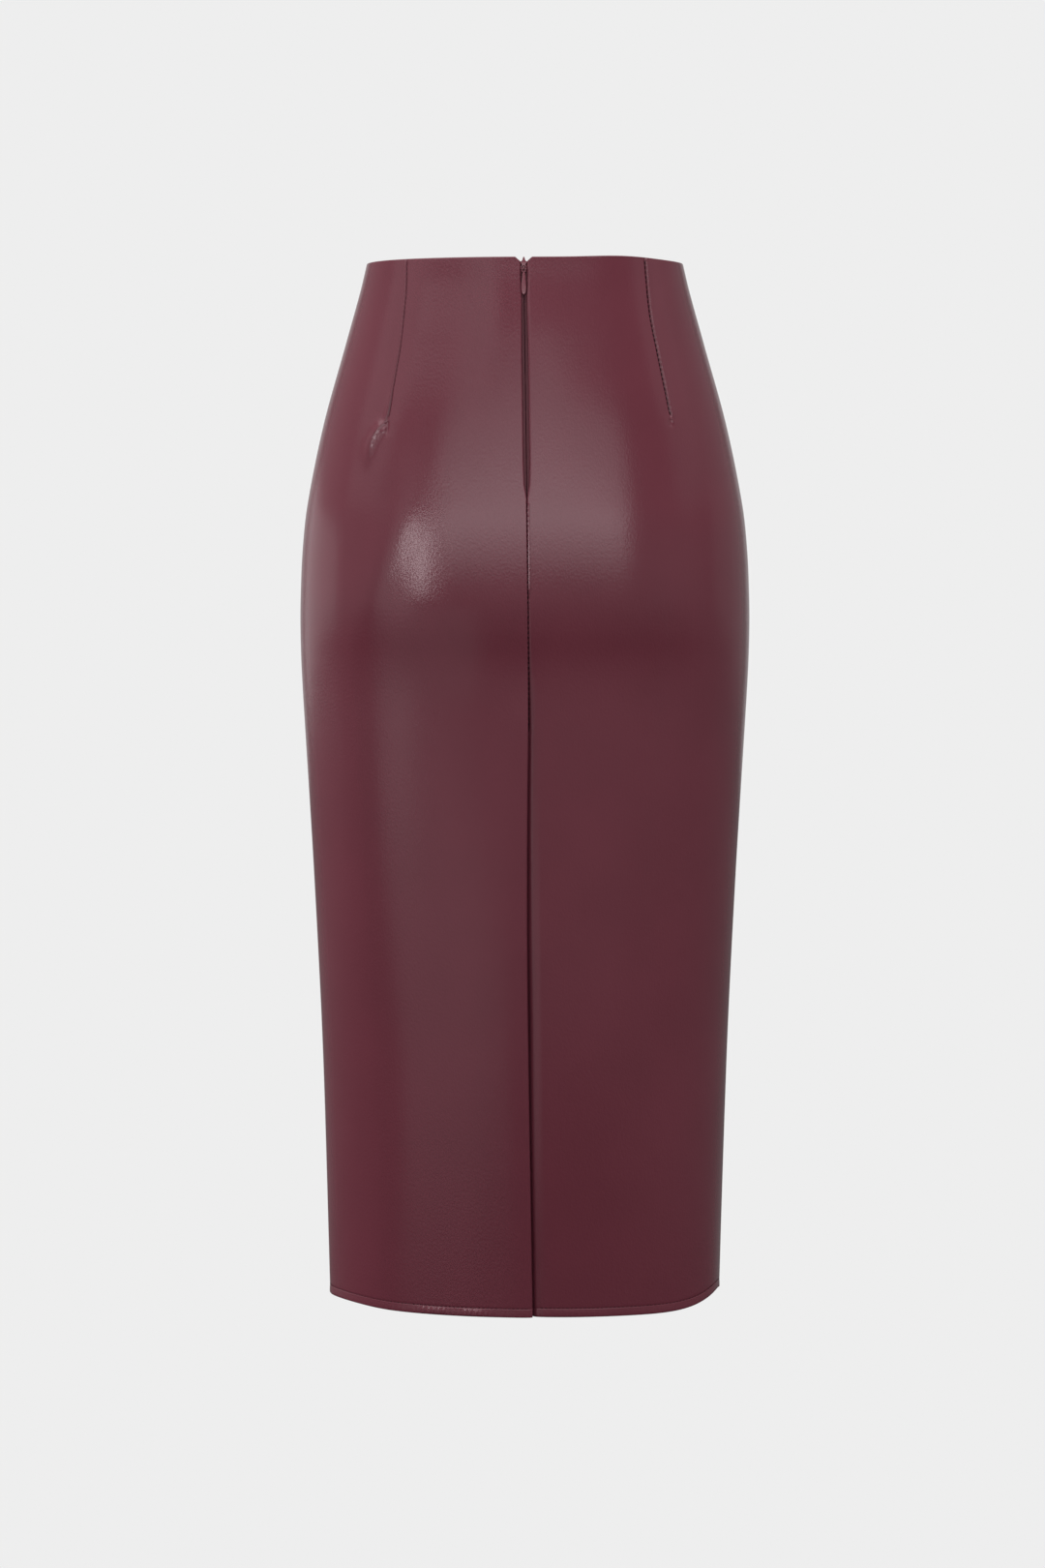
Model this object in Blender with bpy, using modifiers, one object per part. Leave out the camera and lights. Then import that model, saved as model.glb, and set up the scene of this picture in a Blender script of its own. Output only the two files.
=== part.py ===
"""A leather pencil skirt, standing in the shape it is worn in, with no wearer.

One front panel and two back panels meet at the side seams and at a centre back seam. The seam holds a
concealed zip at the waist and opens into a lapped vent below. Darts shape the waist.

Frame: metres, origin at the centre of the waist opening, +Z up, -Y the garment's back, where the zip is,
and +X the right hand of someone who looks at that back.
"""

import functools
import math
from collections import namedtuple

import bmesh
import bpy
from mathutils import Matrix, Vector

MM = 0.001

# ---- driving sizes -------------------------------------------------------------------------------------
LENGTH = 777.5 * MM  # waist edge to hem, straight down
THICKNESS = 1.5 * MM  # leather with its backing
SEAM_GAP = 0.3 * MM  # between two pieces sewn edge to edge
LAYER_GAP = 0.5 * MM  # between two layers that lie on each other

# The body of the skirt, section by section. drop is the height below the waist edge, half_width the reach
# to either side, back and front the reach behind and before the origin. left and right say how square the
# section is on that side, where 2 is an ellipse and more is squarer.
Section = namedtuple("Section", "drop half_width back front left right")
SECTIONS = [
    Section(0 * MM, 118.4 * MM, 88.0 * MM, 88.0 * MM, 2.10, 2.10),
    Section(20 * MM, 123.2 * MM, 91.9 * MM, 90.2 * MM, 2.11, 2.11),
    Section(60 * MM, 134.4 * MM, 100.9 * MM, 94.0 * MM, 2.14, 2.14),
    Section(120 * MM, 151.1 * MM, 113.7 * MM, 101.0 * MM, 2.20, 2.20),
    Section(180 * MM, 163.4 * MM, 123.4 * MM, 105.5 * MM, 2.24, 2.24),
    Section(215 * MM, 167.2 * MM, 127.0 * MM, 107.0 * MM, 2.24, 2.24),
    Section(248 * MM, 168.7 * MM, 127.8 * MM, 107.8 * MM, 2.24, 2.24),
    Section(270 * MM, 169.0 * MM, 126.1 * MM, 108.0 * MM, 2.22, 2.22),
    Section(295 * MM, 168.5 * MM, 122.5 * MM, 108.1 * MM, 2.20, 2.20),
    Section(317 * MM, 167.5 * MM, 120.8 * MM, 108.0 * MM, 2.18, 2.18),
    Section(345 * MM, 165.9 * MM, 120.1 * MM, 107.9 * MM, 2.16, 2.16),
    Section(460 * MM, 159.2 * MM, 118.2 * MM, 107.0 * MM, 2.10, 2.14),
    Section(600 * MM, 152.8 * MM, 114.2 * MM, 105.0 * MM, 2.02, 2.20),
    Section(777.5 * MM, 148.4 * MM, 104.2 * MM, 103.0 * MM, 1.94, 2.46),
]

# The centre back seam wanders a little to the right on its way down.
SeamPoint = namedtuple("SeamPoint", "drop x")
CENTRE_BACK = [
    SeamPoint(0 * MM, -1.0 * MM),
    SeamPoint(178 * MM, 1.4 * MM),
    SeamPoint(320 * MM, 2.6 * MM),
    SeamPoint(500 * MM, 3.2 * MM),
    SeamPoint(600 * MM, 4.9 * MM),
    SeamPoint(777.5 * MM, 7.0 * MM),
]
SIDE_SEAM_FORWARD = 5 * MM  # the side seams lie this far in front of the widest line
EDGE_LIP = 3.5 * MM  # width of the rounding along a sewn or folded edge
EDGE_ROUND = 0.4 * MM  # how far that rounding falls away

# ---- the zip opening ----
ZIP_END = 178 * MM  # where the opening closes into the seam
OpeningPoint = namedtuple("OpeningPoint", "drop half_gap")
ZIP_OPENING = [
    OpeningPoint(0 * MM, 2.8 * MM),
    OpeningPoint(14 * MM, 2.8 * MM),
    OpeningPoint(28 * MM, 2.3 * MM),
    OpeningPoint(60 * MM, 2.7 * MM),
    OpeningPoint(150 * MM, 2.7 * MM),
    OpeningPoint(166 * MM, 2.2 * MM),
    OpeningPoint(178 * MM, 0.15 * MM),
    OpeningPoint(777.5 * MM, 0.15 * MM),
]
NOTCH_DEPTH = 3.4 * MM  # the panels' top corners are turned down beside the zip
EDGE_FADE = 25 * MM  # a change in the waist edge's height dies out this far down
RIGHT_LIFT = 1.7 * MM  # the waist edge rises a little to the right of the zip
RIGHT_LIFT_AT = 74 * MM
RIGHT_LIFT_WIDTH = 34 * MM

# ---- the vent ----
VENT_TOP = 345 * MM  # where the underlap begins
UNDERLAP_WIDTH = 40 * MM  # of the right panel, under the left one
FACING_WIDTH = 35 * MM  # of the left panel's fold
VENT_FADE = 45 * MM  # height over which the seam's two sides part
VENT_PROUD = 1.0 * MM  # the left edge stands out by this
PROUD_WIDTH = 30 * MM
DIP_WIDTH = 22 * MM  # width of the right panel's fall towards the lap
FOLD_STEP = 1.2 * MM  # width of the step where a second layer begins

# ---- the hem ----
HEM_FOLD = 9.0 * MM  # height of the turned up layer
HEM_STITCH = 6.5 * MM  # height of the stitched groove above the edge
HEM_GROOVE = 0.35 * MM
HEM_ROLL = 0.35 * MM
HEM_LIFT_HEIGHT = 80 * MM  # the hem's rise near the sides dies out this far up
Rise = namedtuple("Rise", "share height width")  # where the hem hangs a little higher
HEM_RISES = [Rise(0.215, 7.3 * MM, 32 * MM), Rise(-0.18, 1.6 * MM, 34 * MM)]

# ---- the darts: the lateral place of the stitched line, from the waist edge to the tip ----
DartPoint = namedtuple("DartPoint", "drop x")
BACK_RIGHT_DART = [
    DartPoint(0 * MM, 88.3 * MM),
    DartPoint(22 * MM, 90.0 * MM),
    DartPoint(43 * MM, 92.3 * MM),
    DartPoint(67 * MM, 96.9 * MM),
    DartPoint(117 * MM, 107.0 * MM),
]
BACK_LEFT_DART = [
    DartPoint(0 * MM, -86.9 * MM),
    DartPoint(22 * MM, -87.8 * MM),
    DartPoint(43 * MM, -89.8 * MM),
    DartPoint(67 * MM, -92.6 * MM),
    DartPoint(120 * MM, -100.4 * MM),
]
FRONT_DART_X = 60 * MM
FRONT_DART_SPREAD = 7 * MM
FRONT_DART_LENGTH = 92 * MM
DART_HALF_WIDTH = 2.5 * MM
DART_DEPTH = 0.5 * MM
PUCKER_DEPTH = 1.5 * MM  # the hollow just under a dart's tip
PUCKER_LENGTH = 25 * MM
PUCKER_WIDTH = 9 * MM

# ---- the soft vertical folds: where they lie round the ring, as a share of it, and how far they reach ----
Fold = namedtuple("Fold", "share width top height")
FOLDS = [
    Fold(0.13, 26 * MM, 560 * MM, 1.2 * MM),
    Fold(0.23, 22 * MM, 600 * MM, -1.3 * MM),
    Fold(0.38, 30 * MM, 520 * MM, 1.4 * MM),
    Fold(0.56, 34 * MM, 480 * MM, -1.4 * MM),
    Fold(0.68, 28 * MM, 600 * MM, 1.2 * MM),
    Fold(0.79, 20 * MM, 640 * MM, -1.5 * MM),
    Fold(0.86, 24 * MM, 560 * MM, 1.2 * MM),
]

# ---- the soft swells and hollows of the cloth: their centre, how wide and how far down they reach, height ----
Swell = namedtuple("Swell", "share drop width reach height")
SWELLS = [
    Swell(-0.112, 222 * MM, 17 * MM, 57 * MM, 1.0 * MM),
    Swell(-0.072, 490 * MM, 30 * MM, 190 * MM, -1.5 * MM),
    Swell(-0.147, 410 * MM, 24 * MM, 160 * MM, 1.8 * MM),
    Swell(0.034, 560 * MM, 34 * MM, 140 * MM, 2.2 * MM),
]

# ---- the zip's own pieces ----
TAPE_WIDTH = 13 * MM
TAPE_THICKNESS = 1.0 * MM
TAPE_TOP = 5 * MM
TAPE_END = 205 * MM
TAPE_PART = 0.9 * MM  # half the gap between the tapes above and behind the slider
TAPE_MEET = 0.2 * MM  # and below it
COIL_HALF_WIDTH = 2.0 * MM
COIL_THICKNESS = 1.6 * MM
COIL_TOP = 15.5 * MM  # just under the slider's body
COIL_END = 190 * MM
PIVOT_DROP = 8.5 * MM  # height of the pull's axis below the waist edge
PIVOT_OUT = 0.9 * MM  # of the axis outside the leather's face
SLIDER_HALF_LENGTH = 4.5 * MM
SLIDER_CLEAR = 0.4 * MM

ROWS = [
    d * MM
    for d in (0, 2.5, 12, 22, 32, 43, 55, 67, 80, 93, 105, 117, 122, 129, 138, 150, 166, 178, 190, 205, 222)
] + [d * MM for d in (240, 260, 280, 300, 315, 330, 345, 365, 385, 420, 470, 530, 590, 650, 705, 745)]
HEM_ROWS = [LENGTH - up * MM for up in (9.7, 8.5, 6.5, 4.2, 1.2, 0)]
ROWS += HEM_ROWS
RING_STEPS = 288


# ---- curves and sections -------------------------------------------------------------------------------
def ease(t):
    """0 below 0, 1 above 1, and a smooth rise between."""
    t = min(1.0, max(0.0, t))
    return t * t * (3 - 2 * t)


def along(table, column, drop):
    """A column of a table at any drop, on a smooth curve through the table's rows."""
    drop = min(max(drop, table[0].drop), table[-1].drop)
    i = max(k for k in range(len(table) - 1) if table[k].drop <= drop)
    low, high = table[i], table[i + 1]

    def slope(k):
        a, b = table[max(k - 1, 0)], table[min(k + 1, len(table) - 1)]
        return (getattr(b, column) - getattr(a, column)) / (b.drop - a.drop)

    step = high.drop - low.drop
    t = (drop - low.drop) / step
    rise = t * t * (3 - 2 * t)
    leaving, arriving = t * (1 - t) ** 2, -t * t * (1 - t)
    start, end = getattr(low, column), getattr(high, column)
    return start + (end - start) * rise + step * (slope(i) * leaving + slope(i + 1) * arriving)


def straight(table, column, drop):
    """A column of a table at any drop, on straight lines between the table's rows."""
    drop = min(max(drop, table[0].drop), table[-1].drop)
    i = max(k for k in range(len(table) - 1) if table[k].drop <= drop)
    low, high = table[i], table[i + 1]
    t = (drop - low.drop) / (high.drop - low.drop)
    return getattr(low, column) + t * (getattr(high, column) - getattr(low, column))


def signed_power(value, power):
    return math.copysign(abs(value) ** power, value)


@functools.lru_cache(maxsize=None)
def ring(drop):
    """The section at this drop as (points, distances), from the centre back round by the right side."""
    half_width, back, front, left, right = (along(SECTIONS, c, drop) for c in Section._fields[1:])
    points, distances = [], [0.0]
    for step in range(RING_STEPS + 1):
        turn = math.tau * step / RING_STEPS
        depth = back if math.cos(turn) > 0 else front
        square = right if math.sin(turn) > 0 else left
        x = half_width * signed_power(math.sin(turn), 2 / square)
        y = -depth * signed_power(math.cos(turn), 2 / square)
        points.append(Vector((x, y)))
        if step:
            distances.append(distances[-1] + (points[-1] - points[-2]).length)
    return points, distances


def girth(drop):
    return ring(drop)[1][-1]


def on_ring(distance, drop):
    """The point at this distance round the ring from the centre back, and the outward direction there."""
    points, distances = ring(drop)
    distance %= distances[-1]
    low, high = 0, RING_STEPS
    while high - low > 1:
        middle = (low + high) // 2
        low, high = (middle, high) if distances[middle] <= distance else (low, middle)
    share = (distance - distances[low]) / (distances[high] - distances[low])
    before, after = points[low - 1 if low else RING_STEPS - 1], points[(high + 1) % RING_STEPS]
    run = (points[high] - before) * (1 - share) + (after - points[low]) * share
    return points[low].lerp(points[high], share), Vector((run.y, -run.x)).normalized()


def skin(distance, drop, out=0.0, lift=0.0):
    """A point out from the skirt's face by out, slid up along the face by lift."""
    point, outward = on_ring(distance, max(0.0, drop - lift))
    point = point + outward * out
    return Vector((point.x, point.y, lift - drop))


def distance_at(x, drop):
    """The signed distance from the centre back at which the back of the section has this x."""
    points, distances = ring(drop)
    quarter = RING_STEPS // 4
    steps = range(quarter) if x >= 0 else range(RING_STEPS - quarter, RING_STEPS)
    i = max(k for k in steps if points[k].x <= x)
    share = (x - points[i].x) / (points[i + 1].x - points[i].x)
    distance = distances[i] + share * (distances[i + 1] - distances[i])
    return distance if x >= 0 else distance - distances[-1]


# ---- the lines on the skirt, as signed distances round the ring ----------------------------------------
def centre_back(drop):
    return distance_at(along(CENTRE_BACK, "x", drop), drop)


def side_seam(drop, side):
    """The side seam's distance from the centre back, on the right for side 1 and the left for -1."""
    distances = ring(drop)[1]
    widest = distances[RING_STEPS // 4]
    if side < 0:
        widest = distances[-1] - distances[-1 - RING_STEPS // 4]
    return side * (widest + SIDE_SEAM_FORWARD)


def centre_front(drop):
    return ring(drop)[1][RING_STEPS // 2]


def dart_line(dart, drop):
    """The dart's line, and below its tip the line that carries on from it down the skirt."""
    tip = dart[-1]
    if drop <= tip.drop:
        return distance_at(along(dart, "x", drop), drop)
    share = tip.x / along(SECTIONS, "half_width", tip.drop)
    return distance_at(share * along(SECTIONS, "half_width", drop), drop)


def front_dart_line(side, drop):
    """The same for the front's dart on this side, +1 or -1, as a distance from the centre front."""
    down = min(drop / FRONT_DART_LENGTH, 1.0)
    line = FRONT_DART_X + FRONT_DART_SPREAD * down
    return side * line * girth(drop) / girth(min(drop, FRONT_DART_LENGTH))


# ---- what the face does besides following the section --------------------------------------------------
def soft_relief(distance, drop):
    """The soft folds that grow towards the hem, and the swells and hollows above them."""
    around = girth(drop)
    total = 0.0
    for form in FOLDS + SWELLS:
        away = (distance - form.share * around + around / 2) % around - around / 2
        across = math.exp(-((away / form.width) ** 2))
        if isinstance(form, Fold):
            down = ease((drop - form.top) / (LENGTH - form.top))
        else:
            down = math.exp(-(((drop - form.drop) / form.reach) ** 2))
        total += form.height * across * down
    return total


def dart_relief(away, drop, tip_drop):
    """The stitched groove of a dart, away from its line, and the pucker under its tip."""
    groove = 0.0
    if drop <= tip_drop:
        groove = -DART_DEPTH * max(0.0, 1 - abs(away) / DART_HALF_WIDTH)
    down = (drop - tip_drop) / PUCKER_LENGTH
    pucker = math.exp(-((away / PUCKER_WIDTH) ** 2)) * math.sin(math.pi * min(1.0, max(0.0, down)))
    return groove - PUCKER_DEPTH * pucker


def edge_relief(away):
    """The rounding along a panel's edge, away from that edge."""
    return -EDGE_ROUND * max(0.0, 1 - away / EDGE_LIP)


def hem_relief(drop):
    """The groove of the hem's stitching and the roll below it, by the rows that carry them."""
    up = LENGTH - drop
    groove = -HEM_GROOVE if abs(up - HEM_STITCH) < 0.5 * MM else 0.0
    roll = HEM_ROLL if 2 * MM < up < 5 * MM else 0.0
    rounding = -EDGE_ROUND if up < 0.1 * MM or drop < 0.1 * MM else 0.0
    return groove + roll + rounding


def vent_parting(drop):
    """0 where the centre back seam is flush, 1 where its two sides lie on each other."""
    return ease((drop - VENT_TOP + VENT_FADE) / VENT_FADE)


def left_proud(away, drop):
    """How far the left panel stands out, away from its free edge."""
    return VENT_PROUD * vent_parting(drop) * ease(1 - away / PROUD_WIDTH)


def right_dip(beyond, drop):
    """How far the right panel lies in, beyond the lap's line to the right, or under it if negative."""
    if beyond < 0:
        return left_proud(-beyond, drop) - vent_parting(drop) * (2 * THICKNESS + LAYER_GAP)
    return -vent_parting(drop) * (2 * THICKNESS + LAYER_GAP - VENT_PROUD) * ease(1 - beyond / DIP_WIDTH)


def waist_lift(distance, drop, notch_away):
    """The change in height near the waist edge: the notch beside the zip, and the rise to its right."""
    around = girth(drop)
    signed = (distance + around / 2) % around - around / 2
    rise = RIGHT_LIFT * math.exp(-(((signed - RIGHT_LIFT_AT) / RIGHT_LIFT_WIDTH) ** 2))
    notch = -NOTCH_DEPTH * max(0.0, 1 - notch_away / EDGE_LIP)
    return (rise + notch) * max(0.0, 1 - drop / EDGE_FADE)


def hem_lift(distance, drop):
    """The change in height near the hem, which hangs a little higher near the side seams."""
    around = girth(drop)
    rise = 0.0
    for at in HEM_RISES:
        away = (distance - at.share * around + around / 2) % around - around / 2
        rise += at.height * math.exp(-((away / at.width) ** 2))
    return rise * max(0.0, 1 - (LENGTH - drop) / HEM_LIFT_HEIGHT)


def hem_layer(drop):
    """The depth of the turned up layer inside the wall."""
    return THICKNESS if LENGTH - drop <= HEM_FOLD else 0.0


# ---- building ------------------------------------------------------------------------------------------
def clear_scene():
    for obj in list(bpy.data.objects):
        bpy.data.objects.remove(obj, do_unlink=True)


def make_material(name, colour, roughness, metallic=0.0):
    material = bpy.data.materials.new(name)
    material.use_nodes = True
    shader = material.node_tree.nodes["Principled BSDF"]
    shader.inputs["Base Color"].default_value = (*colour, 1.0)
    shader.inputs["Roughness"].default_value = roughness
    shader.inputs["Metallic"].default_value = metallic
    material.diffuse_color = (*colour, 1.0)
    return material


def make_object(name, mesh, material, collection, smooth_angle=30):
    mesh.materials.clear()
    mesh.materials.append(material)
    mesh.shade_smooth()
    mesh.set_sharp_from_angle(angle=math.radians(smooth_angle))
    obj = bpy.data.objects.new(name, mesh)
    collection.objects.link(obj)
    return obj


def spread(first, last, count):
    """count even steps from first to last, both ends included."""
    return [first + (last - first) * i / count for i in range(count + 1)]


def wall_mesh(name, outer, inner):
    """A closed wall between two grids of points that have the same rows and columns."""
    bm = bmesh.new()
    skins = [[[bm.verts.new(point) for point in row] for row in grid] for grid in (outer, inner)]
    rows, columns = len(outer), len(outer[0])
    for grid in skins:
        for r in range(rows - 1):
            for c in range(columns - 1):
                bm.faces.new((grid[r][c], grid[r][c + 1], grid[r + 1][c + 1], grid[r + 1][c]))
    rim = [(0, c) for c in range(columns)] + [(r, columns - 1) for r in range(1, rows)]
    rim += [(rows - 1, c) for c in range(columns - 2, -1, -1)] + [(r, 0) for r in range(rows - 2, 0, -1)]
    for (r0, c0), (r1, c1) in zip(rim, rim[1:] + rim[:1]):
        bm.faces.new((skins[0][r0][c0], skins[0][r1][c1], skins[1][r1][c1], skins[1][r0][c0]))
    bmesh.ops.recalc_face_normals(bm, faces=bm.faces)
    mesh = bpy.data.meshes.new(name)
    bm.to_mesh(mesh)
    bm.free()
    return mesh


def panel_mesh(name, rows, columns_at, faces_at, lift_at):
    """A wall from its columns at each drop, its outer and inner offsets, and its change in height."""
    outer, inner = [], []
    for drop in rows:
        distances = columns_at(drop)
        offsets = [faces_at(d, drop) for d in distances]
        lifts = [lift_at(d, drop) for d in distances]
        outer.append([skin(d, drop, o[0], up) for d, o, up in zip(distances, offsets, lifts)])
        inner.append([skin(d, drop, o[1], up) for d, o, up in zip(distances, offsets, lifts)])
    return wall_mesh(name, outer, inner)


def back_left_panel():
    """The left back panel, with its dart, and the vent's facing folded in behind its free edge."""

    def columns(drop):
        line = centre_back(drop)
        edge = line - straight(ZIP_OPENING, "half_gap", drop)
        dart = dart_line(BACK_LEFT_DART, drop)
        side = side_seam(drop, -1) + SEAM_GAP / 2
        fold = line - FACING_WIDTH
        return (
            [edge]
            + spread(edge - EDGE_LIP, fold, 4)
            + spread(fold - FOLD_STEP, dart + DART_HALF_WIDTH, 3)
            + [dart]
            + spread(dart - DART_HALF_WIDTH, side + EDGE_LIP, 5)
            + [side]
        )

    def faces(distance, drop):
        line = centre_back(drop)
        edge = line - straight(ZIP_OPENING, "half_gap", drop)
        side = side_seam(drop, -1) + SEAM_GAP / 2
        proud = left_proud(line - distance, drop)
        soft = soft_relief(distance, drop) * ease((line - distance) / (2 * FACING_WIDTH))
        fine = dart_relief(distance - dart_line(BACK_LEFT_DART, drop), drop, BACK_LEFT_DART[-1].drop)
        fine += edge_relief(edge - distance) + edge_relief(distance - side) + hem_relief(drop)
        facing = THICKNESS if drop >= VENT_TOP and line - distance <= FACING_WIDTH + 0.1 * MM else 0.0
        return proud + soft + fine, proud + soft - THICKNESS - max(facing, hem_layer(drop))

    def lift(distance, drop):
        edge = centre_back(drop) - straight(ZIP_OPENING, "half_gap", drop)
        return waist_lift(distance, drop, edge - distance) + hem_lift(distance, drop)

    return panel_mesh("back_panel_left", ROWS, columns, faces, lift)


def back_right_panel():
    """The right back panel, with its dart, and the vent's underlap cut on to its edge."""

    def edge_at(drop):
        under = UNDERLAP_WIDTH * min(1.0, max(0.0, (drop - VENT_TOP) / UNDERLAP_WIDTH))
        return centre_back(drop) + straight(ZIP_OPENING, "half_gap", drop) - under

    def columns(drop):
        line = centre_back(drop) + straight(ZIP_OPENING, "half_gap", drop)
        edge = edge_at(drop)
        dart = dart_line(BACK_RIGHT_DART, drop)
        side = side_seam(drop, 1) - SEAM_GAP / 2
        return (
            spread(edge, line + EDGE_LIP, 6)
            + [line + DIP_WIDTH / 2, line + DIP_WIDTH]
            + spread(line + DIP_WIDTH, dart - DART_HALF_WIDTH, 4)[1:]
            + [dart]
            + spread(dart + DART_HALF_WIDTH, side - EDGE_LIP, 5)
            + [side]
        )

    def faces(distance, drop):
        line = centre_back(drop) + straight(ZIP_OPENING, "half_gap", drop)
        side = side_seam(drop, 1) - SEAM_GAP / 2
        dip = right_dip(distance - line, drop)
        soft = soft_relief(distance, drop) * ease((distance - line) / (2 * FACING_WIDTH))
        fine = dart_relief(distance - dart_line(BACK_RIGHT_DART, drop), drop, BACK_RIGHT_DART[-1].drop)
        fine += edge_relief(distance - edge_at(drop)) + edge_relief(side - distance)
        fine += min(0.0, hem_relief(drop)) if distance < line else hem_relief(drop)
        return dip + soft + fine, dip + soft - THICKNESS - hem_layer(drop)

    def lift(distance, drop):
        edge = centre_back(drop) + straight(ZIP_OPENING, "half_gap", drop)
        return waist_lift(distance, drop, distance - edge) + hem_lift(distance, drop)

    return panel_mesh("back_panel_right", ROWS, columns, faces, lift)


def front_panel():
    """The front, in one piece from side seam to side seam, with its two darts."""

    def sides(drop):
        return side_seam(drop, 1) + SEAM_GAP / 2, girth(drop) + side_seam(drop, -1) - SEAM_GAP / 2

    def columns(drop):
        first, last = sides(drop)
        centre = centre_front(drop)
        darts = [centre + front_dart_line(side, drop) for side in (-1, 1)]
        return (
            [first]
            + spread(first + EDGE_LIP, darts[0] - DART_HALF_WIDTH, 6)
            + [darts[0]]
            + spread(darts[0] + DART_HALF_WIDTH, darts[1] - DART_HALF_WIDTH, 8)
            + [darts[1]]
            + spread(darts[1] + DART_HALF_WIDTH, last - EDGE_LIP, 6)
            + [last]
        )

    def faces(distance, drop):
        first, last = sides(drop)
        centre = centre_front(drop)
        soft = soft_relief(distance, drop)
        fine = edge_relief(distance - first) + edge_relief(last - distance) + hem_relief(drop)
        for side in (-1, 1):
            away = distance - centre - front_dart_line(side, drop)
            fine += dart_relief(away, drop, FRONT_DART_LENGTH)
        return soft + fine, soft - THICKNESS - hem_layer(drop)

    return panel_mesh("front_panel", ROWS, columns, faces, hem_lift)


def strip_rows(top, end):
    """The panels' own rows between two drops, with the two drops themselves."""
    return [top] + [d for d in ROWS if top + 1 * MM < d < end - 1 * MM] + [end]


def zip_tape(side):
    """One woven tape of the zip, side -1 or +1, behind the panel's edge and meeting the other tape."""
    face = -THICKNESS - SEAM_GAP - 0.1 * MM

    def columns(drop):
        line = centre_back(drop)
        part = TAPE_PART + (TAPE_MEET - TAPE_PART) * ease((drop - 12 * MM) / (10 * MM))
        return [line + side * away for away in (part, 3.5 * MM, 8 * MM, TAPE_WIDTH)]

    name = "zip_tape_right" if side > 0 else "zip_tape_left"
    return panel_mesh(
        name,
        strip_rows(TAPE_TOP, TAPE_END),
        columns,
        lambda distance, drop: (face, face - TAPE_THICKNESS),
        lambda distance, drop: 0.0,
    )


def zip_coil():
    """The zip's closed row of coils, as one strip behind the tapes' meeting edges."""
    face = -THICKNESS - SEAM_GAP - 0.1 * MM - TAPE_THICKNESS - SEAM_GAP

    def columns(drop):
        return [centre_back(drop) + share * COIL_HALF_WIDTH for share in (-1, 0, 1)]

    return panel_mesh(
        "zip_coil",
        strip_rows(COIL_TOP, COIL_END),
        columns,
        lambda distance, drop: (face, face - COIL_THICKNESS),
        lambda distance, drop: 0.0,
    )


def zip_frame(drop, out):
    """The frame of a piece that lies on the zip: x across, y inwards, z up along the slope."""
    line = centre_back(drop)
    point = skin(line, drop, out)
    up = (skin(line, drop - 4 * MM) - skin(line, drop + 12 * MM)).normalized()
    up.x = 0.0
    up.normalize()
    across = Vector((1.0, 0.0, 0.0))
    inwards = up.cross(across)
    turn = Matrix((across, inwards, up)).transposed().to_4x4()
    return Matrix.Translation(point) @ turn


def block(size, centre, bevel=0.0):
    """A box as a mesh object, with its edges rounded."""
    bpy.ops.mesh.primitive_cube_add(size=1, location=centre)
    obj = bpy.context.object
    obj.data.transform(Matrix.Diagonal((*size, 1.0)))
    if bevel:
        modifier = obj.modifiers.new("rounded", "BEVEL")
        modifier.width = bevel
        modifier.segments = 2
    return obj


def rod(radius, length, centre, sides=24):
    """A cylinder along x as a mesh object."""
    bpy.ops.mesh.primitive_cylinder_add(
        vertices=sides, radius=radius, depth=length, location=centre, rotation=(0, math.pi / 2, 0)
    )
    return bpy.context.object


def plate(name, outlines, half_thickness, bevel=0.0):
    """A flat plate in the xz plane as a curve object, from its outline and the outlines of its holes."""
    curve = bpy.data.curves.new(name, "CURVE")
    curve.dimensions = "2D"
    curve.fill_mode = "BOTH"
    curve.extrude = half_thickness - bevel
    curve.bevel_depth = bevel
    curve.bevel_resolution = 1
    curve.offset = -bevel
    for outline in outlines:
        spline = curve.splines.new("POLY")
        spline.points.add(len(outline) - 1)
        spline.use_cyclic_u = True
        for point, (x, z) in zip(spline.points, outline):
            point.co = (x, z, 0.0, 1.0)
    obj = bpy.data.objects.new(name, curve)
    bpy.context.scene.collection.objects.link(obj)
    obj.rotation_euler = (math.pi / 2, 0, 0)
    bpy.context.view_layer.update()
    return obj


def evaluated_mesh(obj):
    """The object's mesh with its modifiers and placing, and the object itself removed."""
    bpy.context.view_layer.update()
    mesh = bpy.data.meshes.new_from_object(obj.evaluated_get(bpy.context.evaluated_depsgraph_get()))
    mesh.transform(obj.matrix_world)
    bm = bmesh.new()
    bm.from_mesh(mesh)
    bmesh.ops.remove_doubles(bm, verts=bm.verts, dist=0.001 * MM)
    bmesh.ops.recalc_face_normals(bm, faces=bm.faces)
    bm.to_mesh(mesh)
    bm.free()
    bpy.data.objects.remove(obj, do_unlink=True)
    return mesh


def combined(base, others, operation):
    """The base object after a Boolean with each of the others, which are used up."""
    for other in others:
        holder = bpy.data.objects.new("tool", evaluated_mesh(other))
        bpy.context.scene.collection.objects.link(holder)
        modifier = base.modifiers.new("join", "BOOLEAN")
        modifier.operation = operation
        modifier.object = holder
        modifier.solver = "EXACT"
        base = bpy.data.objects.new("joined", evaluated_mesh(base))
        bpy.context.scene.collection.objects.link(base)
        bpy.data.objects.remove(holder, do_unlink=True)
    return base


# The slider and the pull, in their own frame at the pull's axis.
BAIL_WIDTH = 1.2 * MM
BAIL_INNER = 0.95 * MM
BAIL_OUTER = 1.55 * MM
CROWN_FACE = 0.95 * MM  # the crown's face lies this far behind the axis
CROWN_THICKNESS = 1.2 * MM
NECK_WIDTH = 1.0 * MM
BODY_WIDTH = 5.6 * MM
BODY_THICKNESS = 2.4 * MM
PULL_THICKNESS = 1.0 * MM
PULL_BAR = 0.45 * MM  # half the height of the bar that turns under the bail
EYE_HALF_WIDTH = 1.0 * MM
EYE_LENGTH = 2.6 * MM
PULL_LENGTH = 19.8 * MM

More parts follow.
